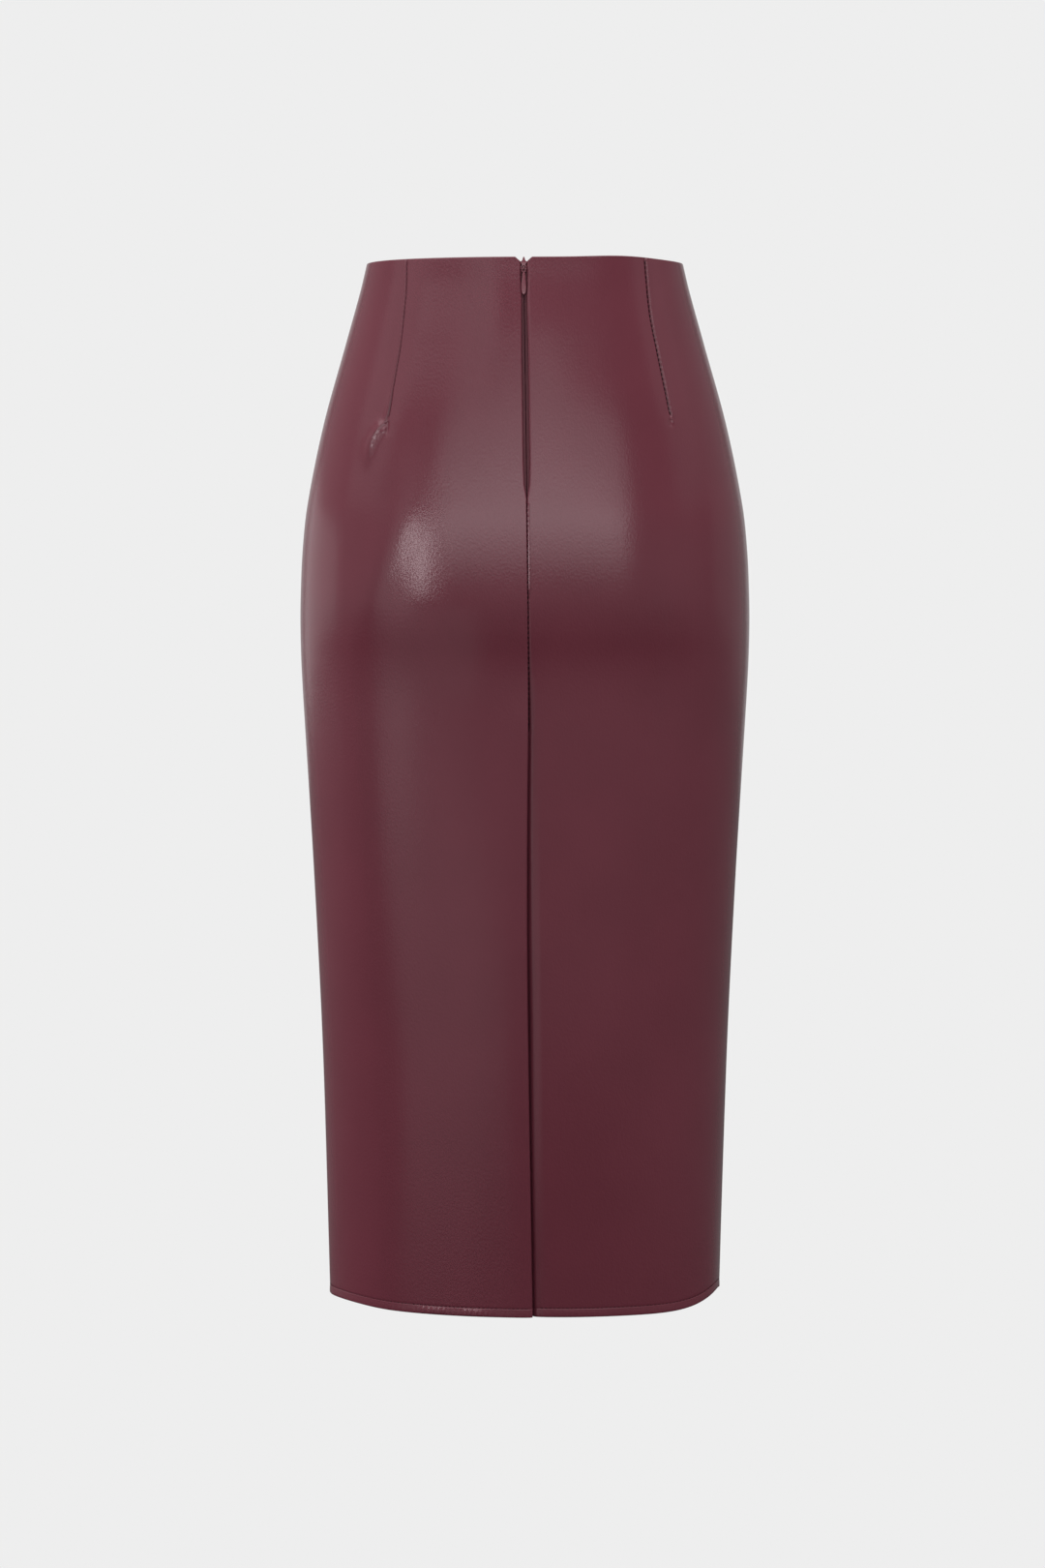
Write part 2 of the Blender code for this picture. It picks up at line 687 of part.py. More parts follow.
Reach = namedtuple("Reach", "drop half_width")
CROWN_OUTLINE = [  # from the pointed nose to the foot
    Reach(-8.9 * MM, 0.6 * MM),
    Reach(-6.5 * MM, 1.1 * MM),
    Reach(-4.6 * MM, 2.0 * MM),
    Reach(-2.5 * MM, 2.2 * MM),
    Reach(1.0 * MM, 2.2 * MM),
    Reach(3.4 * MM, 1.7 * MM),
]
PULL_OUTLINE = [  # from the bar down to the rounded end
    Reach(-0.45 * MM, 1.5 * MM),
    Reach(0.0 * MM, 1.9 * MM),
    Reach(1.4 * MM, 2.1 * MM),
    Reach(3.2 * MM, 1.9 * MM),
    Reach(6.0 * MM, 1.35 * MM),
    Reach(9.0 * MM, 1.6 * MM),
    Reach(12.5 * MM, 2.1 * MM),
    Reach(15.0 * MM, 2.25 * MM),
    Reach(17.5 * MM, 1.9 * MM),
    Reach(19.0 * MM, 1.2 * MM),
    Reach(19.8 * MM, 0.35 * MM),
]


def both_sides(table, steps):
    """A closed outline from its half widths, smooth between the table's rows."""
    drops = spread(table[0].drop, table[-1].drop, steps)
    right = [(along(table, "half_width", d), -d) for d in drops]
    return right + [(-x, z) for x, z in reversed(right)]


def zip_slider_mesh():
    """The slider: a pointed crown outside, a neck between the tapes, a body inside, and the bail."""
    face = -PIVOT_OUT
    body_out = face - THICKNESS - SEAM_GAP - 0.1 * MM - TAPE_THICKNESS - SEAM_GAP
    crown = plate("crown", [both_sides(CROWN_OUTLINE, 14)], CROWN_THICKNESS / 2, 0.2 * MM)
    crown.location.y = CROWN_FACE + CROWN_THICKNESS / 2
    bpy.context.view_layer.update()
    slider = bpy.data.objects.new("crown_mesh", evaluated_mesh(crown))
    bpy.context.scene.collection.objects.link(slider)
    neck_start, neck_end = CROWN_FACE + 0.5 * MM, -body_out + 0.5 * MM
    neck = block(
        (NECK_WIDTH, neck_end - neck_start, 6 * MM), (0, (neck_start + neck_end) / 2, 0)
    )
    body = block(
        (BODY_WIDTH, BODY_THICKNESS, 2 * SLIDER_HALF_LENGTH),
        (0, -body_out + BODY_THICKNESS / 2, 0),
        0.6 * MM,
    )
    hoop = rod(BAIL_OUTER, BAIL_WIDTH, (0, 0, 0))
    foot_depth = CROWN_FACE + 0.4 * MM
    foot = block((BAIL_WIDTH, foot_depth, 2 * BAIL_OUTER), (0, foot_depth / 2, 0))
    slider = combined(slider, [neck, body, hoop, foot], "UNION")
    tunnel = rod(BAIL_INNER, 2 * BAIL_WIDTH, (0, 0, 0))
    slot = block((2 * BAIL_WIDTH, CROWN_FACE, 2 * BAIL_INNER), (0, CROWN_FACE / 2, 0))
    slider = combined(slider, [tunnel, slot], "DIFFERENCE")
    return evaluated_mesh(slider)


def zip_pull_mesh():
    """The teardrop pull, with the eye that hangs from the bail."""
    eye = []
    middle = (PULL_BAR + EYE_LENGTH) / 2
    for step in range(20):
        turn = math.tau * step / 20
        x = EYE_HALF_WIDTH * signed_power(math.cos(turn), 0.6)
        z = -middle + (EYE_LENGTH - PULL_BAR) / 2 * signed_power(math.sin(turn), 0.6)
        eye.append((x, z))
    pull = plate("pull", [both_sides(PULL_OUTLINE, 26), eye], PULL_THICKNESS / 2)
    return evaluated_mesh(pull)


def zip_stop_mesh():
    """The metal stop under the coil's end."""
    stop = block((5.0 * MM, 2.2 * MM, 6.0 * MM), (0, 0, 0), 0.5 * MM)
    return evaluated_mesh(stop)


def build():
    clear_scene()
    skirt = bpy.data.collections.new("leather_skirt")
    bpy.context.scene.collection.children.link(skirt)

    leather = make_material("burgundy_leather", (0.105, 0.030, 0.042), 0.42)
    tape = make_material("zip_tape", (0.060, 0.022, 0.028), 0.85)
    coil = make_material("zip_coil", (0.070, 0.025, 0.032), 0.55)
    metal = make_material("lacquered_metal", (0.150, 0.055, 0.070), 0.35, 0.3)

    make_object("front_panel", front_panel(), leather, skirt)
    make_object("back_panel_left", back_left_panel(), leather, skirt)
    make_object("back_panel_right", back_right_panel(), leather, skirt)
    make_object("zip_tape_left", zip_tape(-1), tape, skirt)
    make_object("zip_tape_right", zip_tape(1), tape, skirt)
    make_object("zip_coil", zip_coil(), coil, skirt)

    slider = make_object("zip_slider", zip_slider_mesh(), metal, skirt)
    slider.matrix_world = zip_frame(PIVOT_DROP, PIVOT_OUT)
    pull = make_object("zip_pull", zip_pull_mesh(), metal, skirt)
    pull.matrix_world = zip_frame(PIVOT_DROP, PIVOT_OUT)
    stop = make_object("zip_bottom_stop", zip_stop_mesh(), metal, skirt)
    coil_middle = -(THICKNESS + SEAM_GAP + 0.1 * MM + TAPE_THICKNESS + SEAM_GAP + 1.1 * MM)
    stop.matrix_world = zip_frame(COIL_END + SLIDER_CLEAR + 3 * MM, coil_middle)


build()
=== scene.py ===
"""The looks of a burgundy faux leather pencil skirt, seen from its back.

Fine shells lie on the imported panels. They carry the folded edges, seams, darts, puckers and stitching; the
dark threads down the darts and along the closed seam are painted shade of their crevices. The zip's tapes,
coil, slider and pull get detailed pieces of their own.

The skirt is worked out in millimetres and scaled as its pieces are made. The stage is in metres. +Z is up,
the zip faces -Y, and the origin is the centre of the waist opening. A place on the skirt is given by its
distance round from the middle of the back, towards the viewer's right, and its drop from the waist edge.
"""

import functools
import math
from collections import namedtuple

import bmesh
import bpy
import numpy as np
from mathutils import Matrix, Vector


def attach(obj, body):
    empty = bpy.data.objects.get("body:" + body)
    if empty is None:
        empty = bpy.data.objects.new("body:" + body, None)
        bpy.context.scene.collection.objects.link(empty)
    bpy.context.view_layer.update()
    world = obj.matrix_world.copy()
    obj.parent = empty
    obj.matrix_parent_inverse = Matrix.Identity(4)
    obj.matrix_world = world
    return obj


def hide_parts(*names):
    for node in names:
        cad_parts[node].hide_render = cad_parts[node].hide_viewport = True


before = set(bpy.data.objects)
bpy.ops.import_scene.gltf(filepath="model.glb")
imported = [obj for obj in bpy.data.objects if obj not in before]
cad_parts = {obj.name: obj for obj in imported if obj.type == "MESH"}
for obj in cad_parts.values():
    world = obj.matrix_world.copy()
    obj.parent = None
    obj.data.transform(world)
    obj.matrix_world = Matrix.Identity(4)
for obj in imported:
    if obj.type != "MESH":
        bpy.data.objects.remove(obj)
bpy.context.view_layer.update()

MM = 0.001  # in metres
GARMENT, PULL = "garment", "pull"  # the bodies that the pieces ride on
OUTSIDE, BACKING = 0, 1  # the leather's two materials on a panel


def named_rows(columns, *rows):
    """Rows whose values are read by the columns' names."""
    Row = namedtuple("Row", columns)
    return [Row(*row) for row in rows]


# ---- the skirt's form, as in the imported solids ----
LENGTH = 777.5
LEATHER = 1.3  # the shells' thickness, a little inside the solids' 1.5 mm
SEAM_GAP = 0.3
LAP_DEPTH = 3.5  # two layers of the vent, face to face
VENT_PROUD = 1.0
VENT_TOP, VENT_FADE = 345, 45
UNDERLAP_WIDTH = 40
FACING_WIDTH = 35
PROUD_WIDTH = 30
SIDE_SEAM_FORWARD = 5
ZIP_END = 178
NOTCH_DEPTH, NOTCH_WIDTH = 3.4, 3.8
EDGE_FADE = 25
RIGHT_LIFT, RIGHT_LIFT_AT, RIGHT_LIFT_WIDTH = 1.7, 74, 34

SECTIONS = named_rows(
    "drop half_width back front left right",  # left and right are the powers that round the section
    (0, 118.4, 88.0, 88.0, 2.10, 2.10),
    (20, 123.2, 91.9, 90.2, 2.11, 2.11),
    (60, 134.4, 100.9, 94.0, 2.14, 2.14),
    (120, 151.1, 113.7, 101.0, 2.20, 2.20),
    (180, 163.4, 123.4, 105.5, 2.24, 2.24),
    (215, 167.2, 127.0, 107.0, 2.24, 2.24),
    (248, 168.7, 127.8, 107.8, 2.24, 2.24),
    (270, 169.0, 126.1, 108.0, 2.22, 2.22),
    (295, 168.5, 122.5, 108.1, 2.20, 2.20),
    (317, 167.5, 120.8, 108.0, 2.18, 2.18),
    (345, 165.9, 120.1, 107.9, 2.16, 2.16),
    (460, 159.2, 118.2, 107.0, 2.10, 2.14),
    (600, 152.8, 114.2, 105.0, 2.02, 2.20),
    (777.5, 148.4, 104.2, 103.0, 1.94, 2.46),
)
CENTRE_BACK = named_rows(
    "drop x", (0, -1.0), (178, 1.4), (320, 2.5), (420, 1.8), (500, 1.8), (600, 2.9), (777.5, 5.8)
)
OPENING = named_rows(  # half the gap between the panels' edges
    "drop x", (0, 2.8), (14, 2.8), (28, 2.3), (60, 2.7), (150, 2.7), (166, 2.2), (178, 0.15), (777.5, 0.15)
)
RIGHT_DART = named_rows("drop x", (0, 88.3), (22, 90.0), (43, 92.3), (67, 96.9), (117, 107.0))
LEFT_DART = named_rows("drop x", (0, -86.9), (22, -87.2), (43, -88.9), (67, -91.5), (120, -100.7))
FRONT_DART_X, FRONT_DART_SPREAD, FRONT_DART_LENGTH = 60, 7, 92
RING_STEPS = 720

HEM_LIFT_HEIGHT = 80
HEM_RISES = named_rows("share height width", (0.218, 7.6, 37), (-0.18, 1.6, 34))

# ---- looks: sizes of the fine detail ----
# Beside the vent's line: how the lap's edge rolls in, and how the other panel falls under it
CREVICE = named_rows(
    "drop lap_fall lap_width fall width",
    (300, 0.0, 1.0, 0.2, 5.0),
    (345, 0.1, 1.5, 0.8, 7.0),
    (420, 0.5, 2.6, 1.3, 8.0),
    (500, 1.2, 4.0, 2.2, 8.5),
    (560, 1.3, 4.6, 2.9, 7.0),
    (640, 1.2, 5.2, 2.2, 6.0),
    (777.5, 1.2, 6.0, 1.3, 4.0),
)
DIP_REACH, DIP_FADE = 7, 80
HIDDEN_STRETCH = 0.6  # the crevice's slope is this much gentler under the lap
UNDERLAP_SHARE = 0.3  # how much of the hem's relief the underlap has
HEM_HOLLOW, HEM_HOLLOW_WIDTH = 1.2, 26  # how the panel under the lap falls back towards the hem
HEM_HOLLOW_TOP, HEM_HOLLOW_FADE = 640, 138
SHOULDER_DEPTH, SHOULDER_WIDTH = 0.28, 1.9  # where the right panel turns down into the closed seam
EDGE_RADIUS = 0.65  # rounding of the waist edge and the hem
SEAM_ROLL = 1.0  # how far the leather rolls in at a seam or a folded edge, and what's left for its back
SEAM_BACK = LEATHER - SEAM_ROLL
RIM = np.array([0, 0.03, 0.1, 0.22, 0.4, 0.62, 0.88, 1.2])  # columns that carry that roll
RIM_END = 1.6
ZIP_LIP = 0.4  # how much closer the soft edges lie over the zip than the solids' edges
ZIP_ROLL, ZIP_ROLL_WIDTH = 0.22, 2.2  # how the right panel's edge falls beside the zip
ZIP_ROLL_START, ZIP_ROLL_STOP = 14, 20  # over which it fades at the zip's two ends
CLOSED_FADE = 4
SWELL_AWAY, SWELL_DROP, SWELL_REACH = 12, 52, 58  # the soft bulge beside the zip
LEFT_SWELL, RIGHT_SWELL = named_rows("height width", (0.8, 16), (1.5, 20))
TURNED = 1.2  # depth of a turned layer behind the face
HEM_TURN_HEIGHT, HEM_TURN_STEP = 10.2, 0.9

DART_GROOVE, DART_GROOVE_WIDTH = 0.7, 0.7  # a dart's stitched line
DART_FOLD, DART_FOLD_AWAY = 0.85, 1.9  # the fold beside it, with a steep slope and a long one
DART_FOLD_NEAR, DART_FOLD_FAR = 0.7, 2.4
DART_VALLEY, DART_VALLEY_WIDTH = 0.4, 6
DART_DIMPLE, DART_DIMPLE_WIDTH, DART_DIMPLE_REACH = 0.35, 2.2, 3.5
DART_DIMPLE_DROP, DART_END, DART_END_FADE = 3, 2, 7  # past the tip
DART_TOP_FADE, DART_TOP_LEAST, DART_LINE_ASIDE = 6, 0.5, 0.1
DART_GRIP_START, DART_GRIP_FADE = 26, 18  # how far above the tip the line begins to get its full depth
LEFT_BITE, FULL_BITE = 0.3, 1.0  # how deep the line and fold are above the tip, as a share
DART_COLUMNS = np.array([0, 0.2, 0.4, 0.6, 0.85, 1.1, 1.4, 1.7, 2.1, 2.6])
DART_COLUMNS = np.concatenate([-DART_COLUMNS[:0:-1], DART_COLUMNS])
DART_REACH = 3.2  # the panel's other columns stay this far from the dart's line
CREASE_REACH = 15  # how far the left panel's columns stay close enough for the dart's creases

HEM_STITCH_HEIGHT = 6.7
HEM_GROOVE, HEM_GROOVE_WIDTH = 0.14, 0.6
HEM_FLARE, HEM_FLARE_RISE, HEM_FLARE_FADE = 0.25, 5, 14
HEM_FOLD, HEM_FOLD_OUT = 6.4, 0.03  # height of the gathered fold, and how far it stands out
HEM_TUCK, HEM_FOLD_BACK = 0.3, 0.5
HEM_PUCKERS = named_rows(  # where the hem's stitching has gathered the fold
    "x reach height", (-112, 11, 0.16), (-74, 12, 1.5), (-44, 10, 1.35), (30, 20, 0.35), (96, 18, 0.14)
)
LEAST_PUCKER = 0.04
PUCKER_RISE, PUCKER_FALL, PUCKER_SLACK = 3.2, 1.6, 0.3  # under the stitching, and at the edge
HEM_WAVES = named_rows(  # the puckers' waves, each with its length over a full turn
    "share length phase", (0.18, 0.66, 0.0), (0.05, 0.41, 1.0), (0.12, 1.37, 2.2)
)

ALLOWANCE = 10  # width of a seam's turned back allowance, inside
ALLOWANCE_THICKNESS = 0.9
ALLOWANCE_COLUMNS = np.concatenate([[0.25, 0.45, 0.9, 1.6], np.linspace(2.4, 9.4, 6), [9.8, 10.0]])
ALLOWANCE_TOP, SEAM_ALLOWANCE_TOP = 0.7, 207
BACK_SET, FRONT_SET = 2.4, 1.8  # how far the side seams' allowances start from the panels' edges
FACING_DEPTH = 38  # the facing inside the waist edge
FACING_TOP, FACING_THICKNESS = 0.5, 0.9
FACING_SIDE, FACING_ZIP = 11, 12  # how far it stays from the side seams and from the zip
INSIDE_FACE = -LEATHER - 0.12  # where the allowances and the facing lie

# Down the darts these dark threads are painted shade of the folds' crevices, sized to how dark each line is;
# along the closed seam they are thread enlarged into painted shade; round the hem they are the real
# topstitching.
LEFT_DART_PAINTED_SHADE, RIGHT_DART_PAINTED_SHADE, FRONT_DART_PAINTED_SHADE, SEAM_THREAD_AND_PAINTED_SHADE, HEM_STITCH = named_rows(
    "pitch length radius sunk",
    (3.7, 3.4, 0.12, -0.1),
    (3.7, 3.4, 0.45, -0.1),
    (3.7, 2.6, 0.2, -0.05),
    (3.7, 2.3, 0.42, 0.38),
    (3.2, 2.4, 0.18, -0.05),
)
LEFT_DART_EDGE, RIGHT_DART_EDGE, SEAM_EDGE = named_rows(  # the leather's edge along a stitched line
    "away half_width half_height lean gathers power",
    (1.25, 0.8, 0.36, 17, 0.1, 0.35),
    (1.25, 0.85, 0.42, 34, 0.3, 0.4),
    (1.05, 0.9, 0.34, 18, 0.05, 0.4),
)
SEAM_EDGE_LENGTH = 68
EDGE_STEP, EDGE_SIDES, EDGE_UNEVEN = 0.36, 14, 0.35
EDGE_START, EDGE_START_LEAST, EDGE_STOP, EDGE_STOP_LEAST = 3, 0.4, 9, 0.3  # how it thins out at its two ends

# The pleat that opens under the left dart's tip: small creases, placed across and down from it
TIP_CREASES = named_rows(
    "points width height",
    ([(-1.6, -1.5), (-5.2, 2.5), (-8.6, 6.5), (-11.0, 12.0), (-12.2, 18.0), (-13.4, 38.0)], 4.8, 2.1),
    ([(-0.6, -1), (-4.4, 2.2), (-8.4, 7.0), (-11.0, 14.0), (-12.2, 26.0)], 1.4, 0.3),
    ([(-3.0, -1), (-9.4, 3.4), (-15.0, 11.0), (-16.6, 26.0)], 2.8, -0.4),
    ([(-0.3, 0.8), (-3.0, 4.2), (-5.4, 8.6)], 1.3, -0.6),
    ([(-1.2, 4.0), (-4.6, 11.0), (-7.6, 20.0)], 2.2, 0.2),
    ([(0.0, -1), (1.1, 5.1), (1.9, 12.5)], 1.4, -1.0),
)
RIGHT_TIP_CREASES = named_rows(
    "points width height",
    ([(0.2, -1.5), (1.0, 1.5), (2.8, 5.0)], 1.1, 0.45),
    ([(-0.5, 0.5), (-1.4, 3.5), (-1.2, 8)], 1.4, -0.5),
)

LEFT_TIP_REACH, RIGHT_TIP_REACH = (-10, 38), (-12, 20)  # the creases' rows, down from the tips
CREASE_START, CREASE_LEAST, CREASE_END = 0.2, 0.15, 0.6  # how a crease fades, as shares of its length

FOLDS = named_rows(  # soft folds that grow from their top towards the hem
    "share width top height",
    (0.13, 26, 560, 1.2),
    (0.23, 22, 600, -1.3),
    (0.38, 30, 520, 1.4),
    (0.56, 34, 480, -1.4),
    (0.68, 28, 600, 1.2),
    (0.79, 20, 640, -1.5),
    (0.86, 24, 560, 1.2),
)
SWELLS = named_rows(  # soft swells and hollows over the hip and thigh
    "share drop width reach height lean",
    (-0.116, 224, 14, 54, 1.1, -0.35),
    (-0.072, 490, 30, 190, -1.5, 0),
    (-0.147, 410, 24, 160, 1.8, 0),
    (0.034, 560, 34, 140, 2.2, 0),
)
WOBBLE = 0.06  # depth of the leather's soft unevenness, a few millimetres across
PEBBLE = 0.09  # and of its grain
WEAVE = 0.2  # and of the cloth's loops

# ---- the zip ----
TAPE_FACE = -1.5  # outside face of the tapes, from the leather's face
TAPE_BULGE, TAPE_BULGE_AWAY, TAPE_BULGE_WIDTH = 0.12, 0.8, 0.75
BULGE_TOP, BULGE_TOP_FADE, BULGE_END, BULGE_END_FADE = 24, 8, ZIP_END - 4, 10
TAPE_THICKNESS = 1.0
TAPE_WIDTH = 13
TAPE_TOP, TAPE_END = 3.4, 205
TAPE_PART, TAPE_MEET = 0.9, 0.2  # half the gap between the tapes, above the coils and along them
TAPE_MEET_TOP, TAPE_MEET_FADE = 12, 10
TAPE_EDGE, TAPE_SELVEDGE = 0.48, 0.4  # how the tape's two edges are rounded
TAPE_COLUMNS = np.concatenate([[0, 0.05, 0.17, 0.35, 0.6, 0.9], np.linspace(1.4, 12.2, 14), [12.5, 12.7]])
COIL_FACE = -3.2
COIL_TOP, COIL_END = 15.5, 190
COIL_PITCH = 1.3
COIL_WIRE = 0.27
COIL_AWAY, COIL_HALF_WIDTH = 0.78, 0.92
COIL_DEPTH, COIL_HALF_DEPTH = 0.8, 0.5  # how deep each row's middle lies under the coils' face
TURN_STEPS = 12
PIVOT_DROP, PIVOT_OUT = 8.5, 0.9
SLOPE_ABOVE, SLOPE_BELOW = 4, 12  # the zip's slope at a piece is taken between these
CROWN_OUT, RING_OUT, RING_UP = 1.55, 1.5, 0.5
EYE_UP = -1.5
BODY_SIZE = (5.6, 2.4, 9)
NECK_SIZE, NECK_AT = (0.8, 3.0, 5), (0, 3.3, -0.5)
STOP_SIZE, STOP_DROP = (5.0, 2.2, 6.0), COIL_END + 3.4
NOSE = named_rows(  # from the slider's point down to its ring
    "drop half_width half_depth",
    (-8.9, 0.3, 0.25),
    (-8.3, 0.6, 0.4),
    (-6.6, 1.1, 0.55),
    (-5.2, 2.1, 0.6),
    (-4.4, 2.2, 0.6),
    (-3.0, 1.5, 0.5),
    (-2.2, 0.9, 0.4),
)
TEARDROP = named_rows(  # from the eye down to the rounded end
    "drop half_width half_depth",
    (2.7, 0.5, 0.30),
    (3.8, 0.85, 0.42),
    (5.5, 1.05, 0.48),
    (8.0, 1.3, 0.55),
    (11.0, 1.6, 0.6),
    (14.5, 1.8, 0.6),
    (17.2, 1.6, 0.55),
    (18.9, 1.0, 0.42),
    (19.8, 0.35, 0.2),
)


# ---- curves and sections ----
def ease(t):
    t = np.clip(t, 0.0, 1.0)
    return t * t * (3 - 2 * t)


def hump(away, width):
    return np.exp(-((away / width) ** 2))


def unit(vectors):
    return vectors / np.linalg.norm(vectors, axis=-1, keepdims=True)


def along(table, column, drop):
    """A column of a table at any drop, on a smooth curve through the table's rows."""
    drop = min(max(drop, table[0].drop), table[-1].drop)
    i = max(k for k in range(len(table) - 1) if table[k].drop <= drop)
    low, high = table[i], table[i + 1]

    def slope(k):
        a, b = table[max(k - 1, 0)], table[min(k + 1, len(table) - 1)]
        return (getattr(b, column) - getattr(a, column)) / (b.drop - a.drop)

    step = high.drop - low.drop
    t = (drop - low.drop) / step
    rise = t * t * (3 - 2 * t)
    leaving, arriving = t * (1 - t) ** 2, -t * t * (1 - t)
    start, end = getattr(low, column), getattr(high, column)
    return start + (end - start) * rise + step * (slope(i) * leaving + slope(i + 1) * arriving)


def straight(table, column, drop):
    """A column of a table at any drop, on straight lines between the table's rows."""
    return float(np.interp(drop, [row.drop for row in table], [getattr(row, column) for row in table]))


@functools.cache
def ring(drop):
    """The section at this drop: x, y, outward x, outward y and distance, from the centre back round."""
    half_width, back, front, left, right = (along(SECTIONS, c, drop) for c in SECTIONS[0]._fields[1:])
    turn = np.linspace(0, math.tau, RING_STEPS + 1)
    sin, cos = np.sin(turn), np.cos(turn)
    power = 2 / np.where(sin > 0, right, left)
    x = half_width * np.sign(sin) * np.abs(sin) ** power
    y = -np.where(cos > 0, back, front) * np.sign(cos) * np.abs(cos) ** power
    distance = np.concatenate([[0.0], np.cumsum(np.hypot(np.diff(x), np.diff(y)))])
    run_x, run_y = np.gradient(x), np.gradient(y)
    run_x[0] = run_x[-1] = run_x[1]
    run_y[0] = run_y[-1] = 0.0
    size = np.hypot(run_x, run_y)
    return x, y, run_y / size, -run_x / size, distance


def girth(drop):
    return ring(drop)[4][-1]


def away_from(share, distance, drop):
    """How far round distances lie from a share of the girth, the shorter way."""
    around = girth(drop)
    return (distance - share * around + around / 2) % around - around / 2


def skin(distance, drop, out=0.0, lift=0.0):
    """Points out from the skirt's face by out, slid up along the face by lift, for one or more distances."""
    distance, out, lift = np.broadcast_arrays(np.asarray(distance, float), out, lift)

    def section(at):
        *columns, table = ring(at)
        return [np.interp(distance % table[-1], table, column) for column in columns]

    columns = section(max(0.0, drop))
    if np.any(lift):
        step = np.maximum(-lift, -drop)
        columns = [a + (b - a) * step for a, b in zip(columns, section(drop + 1))]
    x, y, out_x, out_y = columns
    return np.stack([x + out_x * out, y + out_y * out, lift - drop], -1)


def distance_at(x, drop):
    """The signed distance from the centre back at which the back of the section has this x."""
    xs, _, _, _, table = ring(drop)
    quarter = RING_STEPS // 4
    if x >= 0:
        return float(np.interp(x, xs[: quarter + 1], table[: quarter + 1]))
    return float(np.interp(x, xs[-quarter - 1 :], table[-quarter - 1 :] - table[-1]))


@functools.cache
def centre_back(drop):
    return distance_at(along(CENTRE_BACK, "x", drop), drop)


def centre_front(drop):
    return ring(drop)[4][RING_STEPS // 2]


def half_gap(drop):
    return max(SEAM_GAP / 2, straight(OPENING, "x", drop) - ZIP_LIP)


def left_edge(drop):
    return centre_back(drop) - half_gap(drop)


def right_edge(drop):
    return centre_back(drop) + half_gap(drop)


def side_seam(drop, side):
    table = ring(drop)[4]
    widest = table[RING_STEPS // 4] if side > 0 else table[-1] - table[-1 - RING_STEPS // 4]
    return side * (widest + SIDE_SEAM_FORWARD)


def dart_line(dart, drop):
    tip = dart[-1]
    if drop <= tip.drop:
        return distance_at(along(dart, "x", drop), drop)
    share = tip.x / along(SECTIONS, "half_width", tip.drop)
    return distance_at(share * along(SECTIONS, "half_width", drop), drop)


def front_dart_line(side, drop):
    down = min(drop / FRONT_DART_LENGTH, 1.0)
    line = FRONT_DART_X + FRONT_DART_SPREAD * down
    return centre_front(drop) + side * line * girth(drop) / girth(min(drop, FRONT_DART_LENGTH))


def moved(line_at, by):
    """A line on the skirt beside another one."""
    return lambda drop: line_at(drop) + by


# ---- what the face does besides following the section ----
def soft_relief(distance, drop):
    """The soft folds that grow towards the hem, and the swells and hollows above them."""
    total = np.zeros_like(distance)
    for fold in FOLDS:
        down = ease((drop - fold.top) / (LENGTH - fold.top))
        total += fold.height * hump(away_from(fold.share, distance, drop), fold.width) * down
    for swell in SWELLS:
        away = away_from(swell.share, distance, drop) - swell.lean * (drop - swell.drop)
        total += swell.height * hump(away, swell.width) * hump(drop - swell.drop, swell.reach)
    return total


def back_relief(away, distance, drop):
    """The soft relief of a back panel, which fades out at the vent's line."""
    return soft_relief(distance, drop) * ease(away / (2 * FACING_WIDTH))


def vent_parting(drop):
    return ease((drop - VENT_TOP + VENT_FADE) / VENT_FADE)


def zip_swell(away, drop, swell):
    """The soft bulge that the zip gives the leather beside it, away from the gap's edge."""
    return swell.height * hump(away - SWELL_AWAY, swell.width) * hump(drop - SWELL_DROP, SWELL_REACH)


def zip_roll(away, drop):
    fade = ease(drop / ZIP_ROLL_START) * ease((ZIP_END - drop) / ZIP_ROLL_STOP)
    return fade * ZIP_ROLL * ease(1 - away / ZIP_ROLL_WIDTH)


def left_proud(away, drop):
    return VENT_PROUD * vent_parting(drop) * ease(1 - away / PROUD_WIDTH)


def fall(away, drop, depth, width):
    """How far an edge falls in beside the vent's line, by two columns of the crevice."""
    return straight(CREVICE, depth, drop) * np.clip(1 - away / straight(CREVICE, width, drop), 0, 1) ** 2


def right_dip(beyond, drop):
    """How the right panel lies under the lap, beside it and down to the hem."""
    parting = vent_parting(drop)
    under = left_proud(-beyond, drop) - parting * LAP_DEPTH
    dip = ease((drop - VENT_TOP + DIP_FADE) / DIP_FADE) * (LAP_DEPTH - VENT_PROUD)
    over = -dip * np.exp(-np.maximum(beyond, 0) / DIP_REACH)
    under = np.minimum(under, over) if parting < 1 else under
    low = ease((drop - HEM_HOLLOW_TOP) / HEM_HOLLOW_FADE)
    over = over - HEM_HOLLOW * low * hump(beyond, HEM_HOLLOW_WIDTH)
    hidden = np.where(beyond < 0, -beyond * HIDDEN_STRETCH, beyond)
    return np.where(beyond < 0, under, over) - fall(hidden, drop, "fall", "width")


def waist_lift(distance, drop, notch_away=None):
    rise = RIGHT_LIFT * hump(away_from(0, distance, drop) - RIGHT_LIFT_AT, RIGHT_LIFT_WIDTH)
    if notch_away is not None:
        rise = rise - NOTCH_DEPTH * np.clip(1 - notch_away / NOTCH_WIDTH, 0, 1)
    return rise * max(0.0, 1 - drop / EDGE_FADE)


def hem_lift(distance, drop):
    """The change in height near the hem, which hangs a little higher near the side seams."""
    rise = sum(at.height * hump(away_from(at.share, distance, drop), at.width) for at in HEM_RISES)
    return rise * max(0.0, 1 - (LENGTH - drop) / HEM_LIFT_HEIGHT)


def left_lift(distance, drop):
    return waist_lift(distance, drop, left_edge(drop) - distance) + hem_lift(distance, drop)


def right_lift(distance, drop):
    notch = np.abs(distance - right_edge(drop)) if drop < ZIP_END else None
    return waist_lift(distance, drop, notch) + hem_lift(distance, drop)


